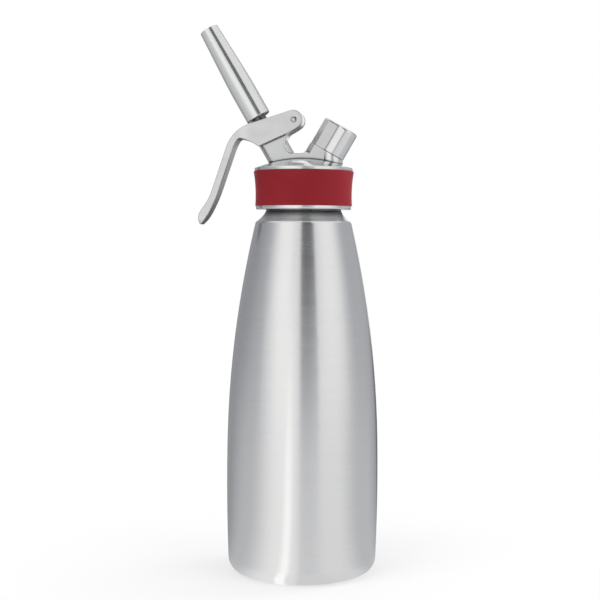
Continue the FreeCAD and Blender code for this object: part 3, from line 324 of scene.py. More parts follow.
class Effects:
    """The surface effects that finishes share, each built when it is first used."""

    @cached_property
    def brushed_lines(self) -> Group:
        """Fine parallel lines stacked along a direction, with a broader unevenness among them.

        Returns:
            The group, with outputs Streak and Height.
        """
        g = Group(
            "brushed_lines", ["Streak", "Height"],
            Direction=Run.UPRIGHT.value, Lines_per_metre=2600.0, Length=60.0,
        )
        place, run, lines = g.place(), g.given["Direction"], g.given["Lines per metre"]
        on_axis = g.vectors("MULTIPLY", run, g.along(place, run))
        beside = g.vectors("SUBTRACT", place, on_axis)
        share = g.maths("DIVIDE", lines, g.given["Length"])
        stretched = g.vectors(
            "ADD", g.vectors("MULTIPLY", on_axis, lines), g.vectors("MULTIPLY", beside, share)
        )
        fine = g.noise(stretched, scale=1.0, detail=3.0, roughness=0.6)
        broad = g.noise(stretched, scale=0.11, detail=2.0, roughness=0.55)
        fine_share, broad_share = 0.7, 0.3
        streak = g.maths("MULTIPLY_ADD", broad, broad_share, g.maths("MULTIPLY", fine, fine_share))
        return g.give(Streak=g.spread(streak, low=0.3, high=0.7), Height=fine)

    @cached_property
    def cast_grain(self) -> Group:
        """The even, very fine grain of a blasted or satin casting.

        Returns:
            The group, with outputs Mottle and Height.
        """
        g = Group("cast_grain", ["Mottle", "Height"], Grains_per_metre=3200.0)
        scaled = g.vectors("MULTIPLY", g.place(), g.given["Grains per metre"])
        fine = g.noise(scaled, scale=1.0, detail=2.0, roughness=0.5)
        mottle = g.noise(scaled, scale=0.03, detail=3.0, roughness=0.55)
        return g.give(Mottle=g.spread(mottle, low=0.35, high=0.65), Height=fine)

    @cached_property
    def handling_marks(self) -> Group:
        """Soft patches where hands and cloths leave a polished surface duller.

        Returns:
            The group, with output Smudge.
        """
        g = Group("handling_marks", ["Smudge"], Patches_per_metre=28.0)
        scaled = g.vectors("MULTIPLY", g.place(), g.given["Patches per metre"])
        flattened = g.vectors("MULTIPLY", scaled, (0.6, 0.6, 4.0))
        patches = g.noise(scaled, scale=1.0, detail=4.0, roughness=0.6)
        wipes = g.noise(flattened, scale=1.7, detail=3.0, roughness=0.5)
        smudge = g.maths("MULTIPLY", patches, wipes)
        return g.give(Smudge=g.spread(smudge, low=0.17, high=0.36))

    @cached_property
    def moulded_skin(self) -> Group:
        """The slightly pebbled skin of moulded silicone, with faint cloudy colour.

        Returns:
            The group, with outputs Cloud and Height.
        """
        g = Group("moulded_skin", ["Cloud", "Height"], Pebbles_per_metre=2400.0)
        scaled = g.vectors("MULTIPLY", g.place(), g.given["Pebbles per metre"])
        cells = g.node("TexVoronoi")
        cells.feature = "SMOOTH_F1"
        g.fill(cells, Vector=scaled, Scale=1.0)
        cloud = g.noise(scaled, scale=0.02, detail=3.0, roughness=0.6)
        cloud = g.spread(cloud, low=0.35, high=0.65)
        return g.give(Cloud=cloud, Height=cells.outputs["Distance"])

    @cached_property
    def flat_sides(self) -> Group:
        """The satin parts of the head's castings: their flat sides and the port's inner end.

        Returns:
            The group, with output Flat.
        """
        g = Group("flat_sides", ["Flat"], Half_thickness=0.0073)
        normal = g.node("TexCoord").outputs["Normal"]
        place = g.parts(g.place())
        off = g.off(g.maths("ABSOLUTE", place["Y"]), g.given["Half thickness"])
        level = g.spread(off, low=0.00002, high=0.00012, to_low=1.0, to_high=0.0)
        square = g.spread(g.maths("ABSOLUTE", g.parts(normal)["Y"]), low=0.95, high=0.99)
        inward = g.spread(g.along(normal, Run.PORT_INWARD.value), low=0.52, high=0.64)
        end = g.maths("MULTIPLY", inward, g.maths("GREATER_THAN", place["X"], 0.0))
        return g.give(Flat=g.maths("MAXIMUM", g.maths("MULTIPLY", level, square), end))

    @cached_property
    def painted_crease_shade(self) -> Group:
        """Painted shade in creases, where nearby surfaces shut out the room's light, above what
        touches the floor.

        Returns:
            The group, with output Crease.
        """
        g = Group("painted_crease_shade", ["Crease"], Reach=0.0009, Open_share=0.9)
        # Ambient occlusion finds where shade would fall; the mask paints that shade into the
        # colour.
        sky = g.fill(g.node("AmbientOcclusion"), Distance=g.given["Reach"])
        sky.samples = 8
        shut = g.maths("SUBTRACT", g.given["Open share"], sky.outputs["AO"])
        clear = g.spread(g.parts(g.place())["Z"], low=0.012, high=0.03)
        return g.give(Crease=g.maths("MULTIPLY", g.spread(shut, low=0.0, high=0.3), clear))

    @cached_property
    def seam_line(self) -> Group:
        """A thin line that lies across a direction at a level.

        Returns:
            The group, with output Seam.
        """
        g = Group(
            "seam_line", ["Seam"],
            Direction=Run.UPRIGHT.value, Level=0.2, Half_width=0.0001, Inner_edge=-1.0,
        )
        place = g.place()
        off = g.off(g.along(place, g.given["Direction"]), g.given["Level"])
        line = g.maths("LESS_THAN", off, g.given["Half width"])
        beyond = g.maths("GREATER_THAN", g.parts(place)["X"], g.given["Inner edge"])
        return g.give(Seam=g.maths("MULTIPLY", line, beyond))


class Surface(Graph):
    """A material's node tree.

    Attributes:
        effects: the effects that all surfaces share.
        material: the material.
        shader: its Principled shader.
    """

    effects: ClassVar[Effects] = Effects()

    def __init__(self, name: str) -> None:
        """Makes the material.

        Args:
            name: its name.
        """
        self.material = bpy.data.materials.new(name)
        self.material.use_nodes = True
        super().__init__(self.material.node_tree)
        self.shader = self.tree.nodes["Principled BSDF"]

    def feed(self, **values: object) -> None:
        """Gives several of the shader's inputs their values."""
        self.fill(self.shader, **values)

    def bump(self, height: Socket, depth: float, strength: float) -> None:
        """Feeds a height to the shader's normal.

        Args:
            height: the height from 0 to 1.
            depth: what a height of 1 stands for, in metres.
            strength: how much of it shows.
        """
        relief = self.fill(self.node("Bump"), Height=height, Distance=depth, Strength=strength)
        self.feed(Normal=relief.outputs["Normal"])


# ---- finishes


@dataclass(frozen=True)
class Finish:
    """What every finish has.

    Attributes:
        name: the material's name.
        colour: its main linear colour.
        shade: the linear colour of its darker or duller places.
        roughness: the roughness of its smoothest places.
        dullness: how much rougher its dullest places are.
    """

    name: str
    colour: Colour
    shade: Colour
    roughness: float
    dullness: float

    def rough(self, g: Surface, mask: Socket) -> Socket:
        """The roughness, from the smoothest places at 0 of a mask to the dullest at 1."""
        return g.spread(mask, 0.0, 1.0, self.roughness, self.roughness + self.dullness)

    def lay(self, g: Surface) -> None:
        """Lays the finish on a surface; each kind of finish has its own way."""
        raise NotImplementedError

    def build(self) -> Material:
        """Builds the material.

        Returns:
            The material.
        """
        g = Surface(self.name)
        g.material.diffuse_color = (*self.colour, 1.0)
        self.lay(g)
        return g.material


@dataclass(frozen=True)
class Line:
    """A thin dark line on a casting: a parting line where a part ends, or painted shade along the
    step where a plate ends.

    Attributes:
        run: the direction that it lies across.
        level: how far along that direction it lies, in metres.
        half: half its width, in metres.
        edge: the least x that it reaches, in metres.
        colour: its linear colour.
    """

    run: Run
    level: float
    half: float
    edge: float = 0.0
    colour: Colour = JOINT_AND_SHADE_DARK

    def mask(self, g: Surface) -> Socket:
        """Where the line is.

        Args:
            g: the material's tree.

        Returns:
            A mask.
        """
        return g.use(
            g.effects.seam_line, Direction=self.run.value, Level=self.level,
            Half_width=self.half, Inner_edge=self.edge,
        )["Seam"]


@dataclass(frozen=True)
class Metal(Finish):
    """What the metal finishes share.

    Attributes:
        metallic: how much of the surface is bare metal.
        crease_shade_reach: how far from a crease its painted shade reaches, in metres; 0 for none.
        open_share: how open a place is to the room where the painted shade ends.
        seam: the parting line, if any.
        root: the painted shade line along the step at the end of the flat sides, if any.
        flat_half: half the thickness between the flat satin sides, in metres; 0 for none.
        flat_colour: the linear colour of the flat sides.
        flat_roughness: how much rougher the flat sides are.
    """

    metallic: float = 1.0
    crease_shade_reach: float = 0.0
    open_share: float = 0.9
    seam: Line | None = None
    root: Line | None = None
    flat_half: float = 0.0
    flat_colour: Colour = (0.66, 0.665, 0.665)
    flat_roughness: float = 0.26

    def plate(self, g: Surface, colour: Socket, rough: Socket) -> None:
        """Feeds the shader, with the satin flats, painted shade in creases, the painted shade line
        where the flats end, and the parting line.

        Args:
            g: the material's tree.
            colour: the colour of the plain surface.
            rough: the roughness of the plain surface.
        """
        if self.flat_half:
            flat = g.use(g.effects.flat_sides, Half_thickness=self.flat_half)["Flat"]
            colour = g.tint(flat, colour, self.flat_colour)
            rough = g.maths("MULTIPLY_ADD", flat, self.flat_roughness, rough)
            # Painted shade: a dark line along the step where the flat sides end.
            if self.root:
                line = g.maths("MULTIPLY", self.root.mask(g), flat)
                colour = g.tint(line, colour, self.root.colour)
        # Painted shade: the colour darkens in creases that ambient occlusion finds shut in.
        if self.crease_shade_reach:
            shade_in_creases = g.use(g.effects.painted_crease_shade, Reach=self.crease_shade_reach, Open_share=self.open_share)
            colour = g.tint(shade_in_creases["Crease"], colour, JOINT_AND_SHADE_DARK)
        if self.seam:
            colour = g.tint(self.seam.mask(g), colour, self.seam.colour)
        g.feed(Base_Color=colour, Roughness=rough, Metallic=self.metallic)


@dataclass(frozen=True)
class BrushedMetal(Metal):
    """Metal with fine lines from brushing or turning.

    Attributes:
        run: the direction that the lines are stacked along.
        lines: how many lines a metre holds.
        line_length: how many times longer than wide a line is.
        depth: how deep the lines are, in metres.
        anisotropy: how far highlights stretch across the lines.
    """

    run: Run = Run.UPRIGHT
    lines: float = 5200.0
    line_length: float = 300.0
    depth: float = 4e-6
    anisotropy: float = 0.0

    def lay(self, g: Surface) -> None:
        """Lays the brushing and the handling marks.

        Args:
            g: the material's tree.
        """
        brushed = g.use(
            g.effects.brushed_lines,
            Direction=self.run.value, Lines_per_metre=self.lines, Length=self.line_length,
        )
        streak = brushed["Streak"]
        smudge = g.use(g.effects.handling_marks, Patches_per_metre=22.0)["Smudge"]
        streak_share, smudge_share = 0.6, 0.4
        smudged = g.maths("MULTIPLY", smudge, smudge_share)
        dull = g.maths("MULTIPLY_ADD", streak, streak_share, smudged)
        colour = g.tint(streak, self.shade, self.colour)
        self.plate(g, colour, self.rough(g, dull))
        if self.anisotropy:
            tangent = g.node("Tangent")
            tangent.direction_type, tangent.axis = "RADIAL", "Z"
            g.feed(
                Anisotropic=self.anisotropy, Anisotropic_Rotation=0.25,
                Tangent=tangent.outputs["Tangent"],
            )
        g.bump(brushed["Height"], self.depth, strength=0.5)


@dataclass(frozen=True)
class CastMetal(Metal):
    """Cast metal, polished or satin, with a faint grain.

    Attributes:
        grains: how many grains a metre holds.
        depth: how deep the grain is, in metres.
    """

    grains: float = 3600.0
    depth: float = 1.5e-6

    def lay(self, g: Surface) -> None:
        """Lays the grain and the handling marks.

        Args:
            g: the material's tree.
        """
        grain = g.use(g.effects.cast_grain, Grains_per_metre=self.grains)
        smudge = g.use(g.effects.handling_marks, Patches_per_metre=40.0)["Smudge"]
        colour = g.tint(grain["Mottle"], self.colour, self.shade)
        self.plate(g, colour, self.rough(g, smudge))
        g.bump(grain["Height"], self.depth, strength=0.4)


@dataclass(frozen=True)
class Silicone(Finish):
    """Matt moulded silicone.

    Attributes:
        pebbles: how many pebbles of its skin a metre holds.
        depth: how deep the skin's texture is, in metres.
        sheen: the weight of its soft sheen at grazing angles.
    """

    pebbles: float
    depth: float
    sheen: float

    def lay(self, g: Surface) -> None:
        """Lays the pebbled skin and the sheen.

        Args:
            g: the material's tree.
        """
        skin = g.use(g.effects.moulded_skin, Pebbles_per_metre=self.pebbles)
        colour = g.tint(skin["Cloud"], self.colour, self.shade)
        g.feed(
            Base_Color=colour, Roughness=self.rough(g, skin["Cloud"]),
            Specular_IOR_Level=0.22, Sheen_Weight=self.sheen, Sheen_Roughness=0.25,
            Sheen_Tint=(1.0, 0.66, 0.78, 1.0),
        )
        g.bump(skin["Height"], self.depth, strength=0.5)


class Finishes:
    """Every finish of the dispenser, built once."""

    def __init__(self) -> None:
        """Builds each material."""
        port = PORT_AXIS.point(0.0).dot(PORT_AXIS.direction())
        # Painted shade under the collar: crease darkening that reaches far on the bottle and the
        # neck ring.
        neck = {"crease_shade_reach": 0.007, "open_share": 0.74}
        self.bottle = BrushedMetal(
            "bottle_brushed_steel", (0.80, 0.80, 0.802), (0.765, 0.765, 0.77), 0.23, 0.06,
            lines=1900.0, line_length=90.0, depth=3e-6, anisotropy=0.85, **neck,
        ).build()
        self.neck = BrushedMetal(
            "neck_turned_steel", (0.72, 0.72, 0.73), (0.55, 0.55, 0.56), 0.22, 0.10,
            lines=3200.0, line_length=200.0, depth=8e-6, **neck,
        ).build()
        self.casting = CastMetal(
            "casting_polished_steel", (0.77, 0.775, 0.775), (0.74, 0.745, 0.745), 0.10, 0.04,
            metallic=0.9, crease_shade_reach=0.0018, flat_half=0.0073,
            seam=Line(Run.PORT, port + 0.0363, 0.00014, edge=0.006),
            # Painted shade line along the step where the plate ends.
            root=Line(Run.PLATE_END, -0.0124, 0.0004),
        ).build()
        self.lever = CastMetal(
            "lever_satin_steel", (0.69, 0.695, 0.695), (0.65, 0.655, 0.655), 0.30, 0.06,
            crease_shade_reach=0.0011, depth=4e-6,
        ).build()
        self.nozzle = BrushedMetal(
            "nozzle_polished_steel", (0.75, 0.755, 0.755), (0.72, 0.725, 0.725), 0.07, 0.05,
            metallic=0.85, run=Run.VALVE, lines=2400.0, line_length=120.0, depth=1e-6,
        ).build()
        self.cap = CastMetal(
            "cap_polished_steel", (0.76, 0.76, 0.765), (0.73, 0.73, 0.74), 0.09, 0.04,
            metallic=0.95, crease_shade_reach=0.0011, flat_half=0.0073,
            seam=Line(Run.PORT, port + 0.03645, 0.00014, edge=0.006),
            # Painted shade line along the edge where the flat ends at the chamfer.
            root=Line(Run.PORT_INWARD, 0.1247, 0.0004, colour=(0.36, 0.36, 0.365)),
        ).build()
        # Painted shade: the stem and its parts are darkened to stand for the shade in the gap
        # under the nozzle.
        self.stem = BrushedMetal(
            "stem_steel_painted_shade", (0.16, 0.16, 0.165), (0.11, 0.11, 0.115), 0.22, 0.10,
            run=Run.VALVE,
        ).build()
        self.pin = BrushedMetal(
            "pin_turned_steel", (0.70, 0.70, 0.71), (0.58, 0.58, 0.59), 0.20, 0.10,
            crease_shade_reach=0.001, open_share=0.97, run=Run.ACROSS, lines=4200.0, line_length=200.0,
        ).build()
        self.charging = BrushedMetal(
            "charging_turned_steel", (0.70, 0.70, 0.71), (0.57, 0.57, 0.58), 0.18, 0.10,
            run=Run.PORT,
        ).build()
        self.spring = CastMetal(
            "spring_drawn_wire", (0.62, 0.62, 0.63), (0.50, 0.50, 0.51), 0.22, 0.10,
            grains=5200.0, depth=3e-6,
        ).build()
        self.brass = BrushedMetal(
            "insert_turned_brass", (0.78, 0.56, 0.24), (0.62, 0.42, 0.16), 0.18, 0.10,
            run=Run.PORT,
        ).build()
        self.sleeve = Silicone(
            "sleeve_red_silicone", (0.232, 0.0085, 0.0155), (0.212, 0.0075, 0.0135), 0.56, 0.08,
            pebbles=2600.0, depth=16e-6, sheen=0.34,
        ).build()
        self.seal = Silicone(
            "seal_white_silicone", (0.62, 0.61, 0.58), (0.54, 0.53, 0.50), 0.50, 0.10,
            pebbles=3200.0, depth=12e-6, sheen=0.10,
        ).build()
        self.o_ring = Silicone(
            "ring_black_rubber", (0.022, 0.022, 0.024), (0.015, 0.015, 0.016), 0.42, 0.10,
            pebbles=5200.0, depth=8e-6, sheen=0.08,
        ).build()


# ---- meshes


def link(name: str, data: bpy.types.ID) -> Piece:
    """Makes an object of some data and links it to the scene.

    Args:
        name: the object's name.
        data: its mesh, camera or lamp.

    Returns:
        The object.
    """
    thing = bpy.data.objects.new(name, data)
    bpy.context.scene.collection.objects.link(thing)
    return thing


def solid_of_rings(name: str, rings: Sequence[Sequence[Vector]]) -> Piece:
    """A smooth solid through a row of rings of points, capped at both ends.

    Args:
        name: the piece's name.
        rings: the rings, each with the same number of points.

    Returns:
        The new piece.
    """
    mesh = bpy.data.meshes.new(name)
    work = bmesh.new()
    rows = [[work.verts.new(point) for point in ring] for ring in rings]
    for near, far in zip(rows, rows[1:]):
        for index in range(len(near)):
            after = (index + 1) % len(near)
            work.faces.new((near[index], near[after], far[after], far[index]))
    work.faces.new(rows[0])
    work.faces.new(rows[-1][::-1])
    bmesh.ops.recalc_face_normals(work, faces=work.faces)
    work.to_mesh(mesh)
    work.free()
    mesh.shade_smooth()
    mesh.set_sharp_from_angle(angle=SHARP_ANGLE)
    return link(name, mesh)


@dataclass(frozen=True)
class Thread:
    """A raised screw thread whose ends run out into its cylinder. Lengths are in millimetres.

    Attributes:
        axis: the axis that it winds round.
        radius: the radius of the cylinder that it stands on.
        rise: how far the crest stands above that.
        pitch: how far it climbs in a turn.
        start: where it begins along the axis.
        turns: how many turns it makes.
        root: its width at the foot.
        crest: its width at the top.
        sides: how many steps a turn has.
        sink: how deep its foot stands in the cylinder.
        run_outs: how many run-outs would fill a turn.
        thinnest: the least height at its ends, as a share of rise.
    """

    axis: Axis
    radius: float
    rise: float
    pitch: float
    start: float
    turns: float
    root: float
    crest: float
    sides: int
    sink: float = 0.15
    run_outs: float = 6.0
    thinnest: float = 0.02

    def build(self, name: str) -> Piece:
        """Builds the thread.

        Args:
            name: the piece's name.

        Returns:
            The new piece.
        """
        steps = round(self.turns * self.sides)
        foot = self.radius - self.sink
        rings = []
        for step in range(steps + 1):
            angle = math.tau * step / self.sides
            along = self.start + self.pitch * step / self.sides
            fade = min(1.0, self.run_outs * min(step, steps - step) / self.sides)
            top = self.radius + self.rise * max(fade, self.thinnest)
            rings.append([
                self.axis.point(along + shift, radius, angle)
                for shift, radius in (
                    (-self.root / 2, foot), (-self.crest / 2, top),
                    (self.crest / 2, top), (self.root / 2, foot),
                )
            ])
        return solid_of_rings(name, rings)


@dataclass(frozen=True)
class Coil:
    """A round-wire spring with closed end turns. Lengths are in millimetres.

    Attributes:
        axis: the axis that it winds round.
        radius: how far the wire's middle is from the axis.
        wire: half the wire's thickness.
        bottom: where the lowest wire's middle lies along the axis.
        top: where the highest wire's middle lies.
        turns: how many open turns it has.
        closed_turns: how many turns lie flat at each end.
        joint: the joint that it would shorten with; not used.
        stroke: how much shorter it would be at the joint's limit; not used.
        closed_pitch: the pitch of the closed turns, in half thicknesses of the wire.
        sides: how many steps a turn has.
        wire_sides: how many sides the wire has.
    """

    axis: Axis
    radius: float
    wire: float
    bottom: float
    top: float
    turns: float
    closed_turns: float
    joint: str
    stroke: float
    closed_pitch: float = 2.04
    sides: int = 48
    wire_sides: int = 12

    def rise(self, turn: float) -> float:
        """How far up the wire is.

        Args:
            turn: how many turns from its lower end.

        Returns:
            The distance along the axis.
        """
        flat = self.closed_pitch * self.wire * self.closed_turns
        left = self.turns + 2 * self.closed_turns - turn
        if turn <= self.closed_turns:
            return self.bottom + flat * turn / self.closed_turns
        if left <= self.closed_turns:
            return self.top - flat * left / self.closed_turns
        share = (turn - self.closed_turns) / self.turns
        return self.bottom + flat + (self.top - self.bottom - 2 * flat) * share

    def fit(self, name: str, material: Material, replaces: str) -> None:
        """Winds the spring into the head.

        Args:
            name: the piece's name.
            material: its finish.
            replaces: the node that it stands for.
        """
        total = self.turns + 2 * self.closed_turns
        steps = round(total * self.sides)
        angles = [math.tau * side / self.wire_sides for side in range(self.wire_sides)]
        rings = []
        for step in range(steps + 1):
            turn = total * step / steps
            rings.append([
                self.axis.point(
                    self.rise(turn) + self.wire * math.sin(angle),
                    self.radius + self.wire * math.cos(angle),
                    math.tau * turn,
                )
                for angle in angles
            ])
        spring = solid_of_rings(name, rings)
        add(spring, Ride.HEAD, material, replaces)
        tuple(self.axis.direction())
        tuple(self.axis.point(self.bottom - self.wire))
        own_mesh(spring)


def dress(material: Material, *nodes: str) -> None:
    """Gives solids of the frame their finish.

    Args:
        material: the finish.
        *nodes: the names of the solids' nodes.
    """
    for node in nodes:
        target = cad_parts[node]
        target.data.materials.clear()
        target.data.materials.append(material)
        log.info("%s wears %s", node, material.name)


def add(piece: Piece, body: Ride, material: Material, replaces: str = "") -> None:
    """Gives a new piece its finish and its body.

    Args:
        piece: the piece.
        body: the body that it rides on.
        material: its finish.
        replaces: the node that it stands for, if any.
    """
    piece.data.materials.append(material)
    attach(piece, body.value)
    if replaces:
        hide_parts(replaces)
    log.info("%s rides on %s", piece.name, body.value)


# ---- sub-assemblies


@dataclass
class Dress:
    """A sub-assembly that wears the shared finishes.

    Attributes:
        finishes: every finish.
    """

    finishes: Finishes


@dataclass
class BottleDress(Dress):
    """The brushed bottle and its neck ring.

    Attributes:
        thread: the thread that the head screws on.
    """

    thread: Thread = Thread(
        UPRIGHT_AXIS, radius=24.4, rise=0.27, pitch=4.0, start=243.2, turns=2.75,
        root=2.4, crest=1.1, sides=120,
    )

    def build(self) -> None:
        """Dresses the shell, the ring and the gasket, and winds the thread."""
        dress(self.finishes.bottle, "bottle")
        dress(self.finishes.neck, "thread_ring")
        dress(self.finishes.seal, "head_gasket")
        add(self.thread.build("neck_thread"), Ride.BOTTLE, self.finishes.neck)


@dataclass
class HeadDress(Dress):
    """The head casting with its silicone sleeve."""

    def build(self) -> None:
        """Dresses the casting and the sleeve."""
        dress(self.finishes.casting, "head")
        dress(self.finishes.sleeve, "heat_sleeve")


@dataclass
class LeverDress(Dress):
    """The lever and the pin that it turns on. Lengths are in millimetres.

    Attributes:
        pin_radius: the pin's radius.
        pin_half: half the pin's length.
        dome: how far each end is domed.
        dome_rings: the radii that shape the dome's middle.
        rim: the rounding of each end's edge.
        ring_radius: the middle of the ring that is turned in each end.
        ring_half: half the ring's width.
        ring_depth: the ring's depth.
        ring_slope: how far the ring's walls lean.
        sides: how many sides the pin has.
    """

    pin_radius: float = 2.1
    pin_half: float = 9.55
    dome: float = 0.35
    dome_rings: tuple[float, float] = (0.3, 0.7)
    rim: float = 0.1
    ring_radius: float = 1.3
    ring_half: float = 0.22
    ring_depth: float = 0.22
    ring_slope: float = 0.06
    sides: int = 72

    def crown(self, radius: float) -> tuple[float, float]:
        """The point of the domed end at a radius, as (radius, distance along the pin)."""
        return radius, self.pin_half - self.dome * (radius / self.pin_radius) ** 2

    def end_profile(self) -> Outline:
        """The outline of the pin's far end, from its middle to its shank.

        Returns:
            Its points as (radius, distance along the pin).
        """
        inner, outer = self.ring_radius - self.ring_half, self.ring_radius + self.ring_half
        floor = self.crown(self.ring_radius)[1] - self.ring_depth
        return [
            *map(self.crown, (*self.dome_rings, inner)),
            (inner + self.ring_slope, floor),
            (outer - self.ring_slope, floor),
            *map(self.crown, (outer, self.pin_radius - self.rim)),
            (self.pin_radius, self.pin_half - self.dome - self.rim),
        ]

    def build(self) -> None:
        """Dresses the lever and turns a new pin with a ring in each end."""
        dress(self.finishes.lever, "lever")
        end = self.end_profile()
        angles = [math.tau * side / self.sides for side in range(self.sides)]
        pin = solid_of_rings("lever_pin_turned", [
            [PIN_AXIS.point(along, radius, angle) for angle in angles]
            for radius, along in [(radius, -along) for radius, along in end] + end[::-1]
        ])
        add(pin, Ride.LEVER, self.finishes.pin, "lever_pin")


@dataclass
class ValveDress(Dress):
    """The stem, its seals, its spring and the parts on it.

    Attributes:
        coil: the valve spring.
    """

    coil: Coil = Coil(
        VALVE_AXIS, radius=5.3, wire=0.45, bottom=27.25, top=48.45,
        turns=4.5, closed_turns=0.75, joint="stem_slide", stroke=3.0,
    )

    def build(self) -> None:
        """Dresses the stem's parts and winds the valve spring."""
        dress(self.finishes.stem, "valve_stem", "lever_collar", "stem_clip", "spring_washer")
        dress(self.finishes.seal, "foot_gasket")
        dress(self.finishes.o_ring, "stem_o_rings")
        self.coil.fit("valve_spring_wire", self.finishes.spring, "valve_spring")


@dataclass
class NozzleDress(Dress):
    """The nozzle with its seal.

    Attributes:
        thread: the thread of the stem that it screws on.
    """

    thread: Thread = Thread(
        VALVE_AXIS, radius=4.5, rise=0.06, pitch=1.25, start=60.3, turns=6.0,
        root=0.9, crest=0.3, sides=48,
    )

    def build(self) -> None:
        """Dresses the nozzle and its seal, and winds the thread."""
        dress(self.finishes.nozzle, "nozzle")
        dress(self.finishes.seal, "nozzle_seal")
        add(self.thread.build("stem_thread"), Ride.STEM, self.finishes.stem)


@dataclass
class ChargingDress(Dress):
    """The charging port's inner parts and the cap over it.

    Attributes:
        thread: the thread under the cap.
        coil: the check spring.
    """

    thread: Thread = Thread(
        PORT_AXIS, radius=7.0, rise=0.22, pitch=1.5, start=39.0, turns=7.0,
        root=1.1, crest=0.35, sides=60,
    )
    coil: Coil = Coil(
        PORT_AXIS, radius=1.4, wire=0.22, bottom=21.435, top=23.995,
        turns=1.5, closed_turns=0.5, joint="check_slide", stroke=0.8,
    )

    def build(self) -> None:
        """Dresses the port's parts and winds its thread and spring."""
        dress(self.finishes.cap, "protective_cap")
        dress(self.finishes.brass, "charging_valve")
        dress(self.finishes.charging, "piercing_pin", "check_ball", "check_retainer")
        dress(self.finishes.seal, "charger_seal", "cap_seal")
        add(self.thread.build("port_thread"), Ride.HEAD, self.finishes.casting)
        self.coil.fit("check_spring_wire", self.finishes.spring, "check_spring")


# ---- studio


@dataclass(frozen=True)
class Panel:
    """A soft light or a dark screen that stands round the object.

    Attributes:
        azimuth: the direction of its middle, in degrees from the front towards +X.
        half_width: half the width that it fills evenly, in degrees.
        edge: how wide each of its soft edges is, in degrees.
        level: how bright it is, where 1 is white.
    """

    azimuth: float
    half_width: float
    edge: float
    level: float


@dataclass(frozen=True)
class Row:
    """The panels that stand round the object at one height.

    Attributes:
        back: how bright the room is where no panel stands.
        panels: the panels, the later ones over the earlier.
        foot: where it starts to take over from the row below, as the sine of the climb.
        full: where it has taken over.
        smooth: whether it takes over with an easing.
    """

    back: float
    panels: tuple[Panel, ...] = ()
    foot: float = 0.0
    full: float = 1.0
    smooth: bool = True

    def level(self, g: Graph, angle: Socket) -> object:
        """How bright the row is.

        Args:
            g: the tree that it goes in.
            angle: the direction looked at, in degrees.

        Returns:
            The level, an output or a number.
        """
        level: object = self.back
        for panel in self.panels:
            turn = g.maths("WRAP", g.maths("SUBTRACT", angle, panel.azimuth), 180.0, -180.0)
            away, inner = g.maths("ABSOLUTE", turn), panel.half_width
            mask = g.spread(away, inner, inner + panel.edge, 1.0, 0.0, smooth=True)
            level = g.toward(level, panel.level, mask)
        return level


TABLE_ROW = Row(0.34, (
    Panel(15, 95, 55, 0.60), Panel(-18, 4, 55, 0.97), Panel(46, 8, 38, 0.82),
    Panel(17, 10, 8, 0.79), Panel(-12.5, 2.5, 4, 1.25), Panel(180, 16, 14, 0.10),
))
WALL_ROW = Row(0.34, (
    Panel(36, 102, 46, 0.48), Panel(-22, 8, 44, 1.08), Panel(50, 12, 46, 1.0),
    Panel(15.5, 11, 2.5, 0.43), Panel(25, 2, 7, 0.55), Panel(180, 7, 7, 1.0),
), foot=-0.16, full=-0.02)
UPPER_ROW = Row(0.34, (
    Panel(38, 100, 46, 0.47), Panel(-34, 6, 40, 1.05), Panel(-8, 6, 3, 0.80),
    Panel(64, 8, 40, 0.98), Panel(16.5, 13, 2.5, 0.04), Panel(180, 7, 7, 1.0),
), foot=0.12, full=0.36, smooth=False)
HIGH_ROW = Row(0.9, (Panel(16.5, 13, 5, 0.05),), foot=0.50, full=0.66)
CEILING = Row(0.9, foot=0.88, full=0.98)


@dataclass(frozen=True)
class Lamp:
    """A soft square lamp that is aimed at the object.

    Attributes:
        name: its name.
        place: where it hangs, in metres.
        width: its width, in metres.
        power: its power, in watts.
        aim: the point that it is aimed at, in metres.
    """

    name: str
    place: Place
    width: float
    power: float
    aim: Place = (0.0, 0.0, 0.16)

    def hang(self) -> None:
        """Hangs the lamp, out of sight of polished metal."""
        data = bpy.data.lights.new(self.name, "AREA")
        data.shape = "SQUARE"
        data.size = self.width
        data.energy = self.power
        lamp = link(self.name, data)
        lamp.location = self.place
        aim = Vector(self.aim) - Vector(self.place)
        lamp.rotation_euler = aim.to_track_quat("-Z", "Y").to_euler()
        lamp.visible_glossy = False


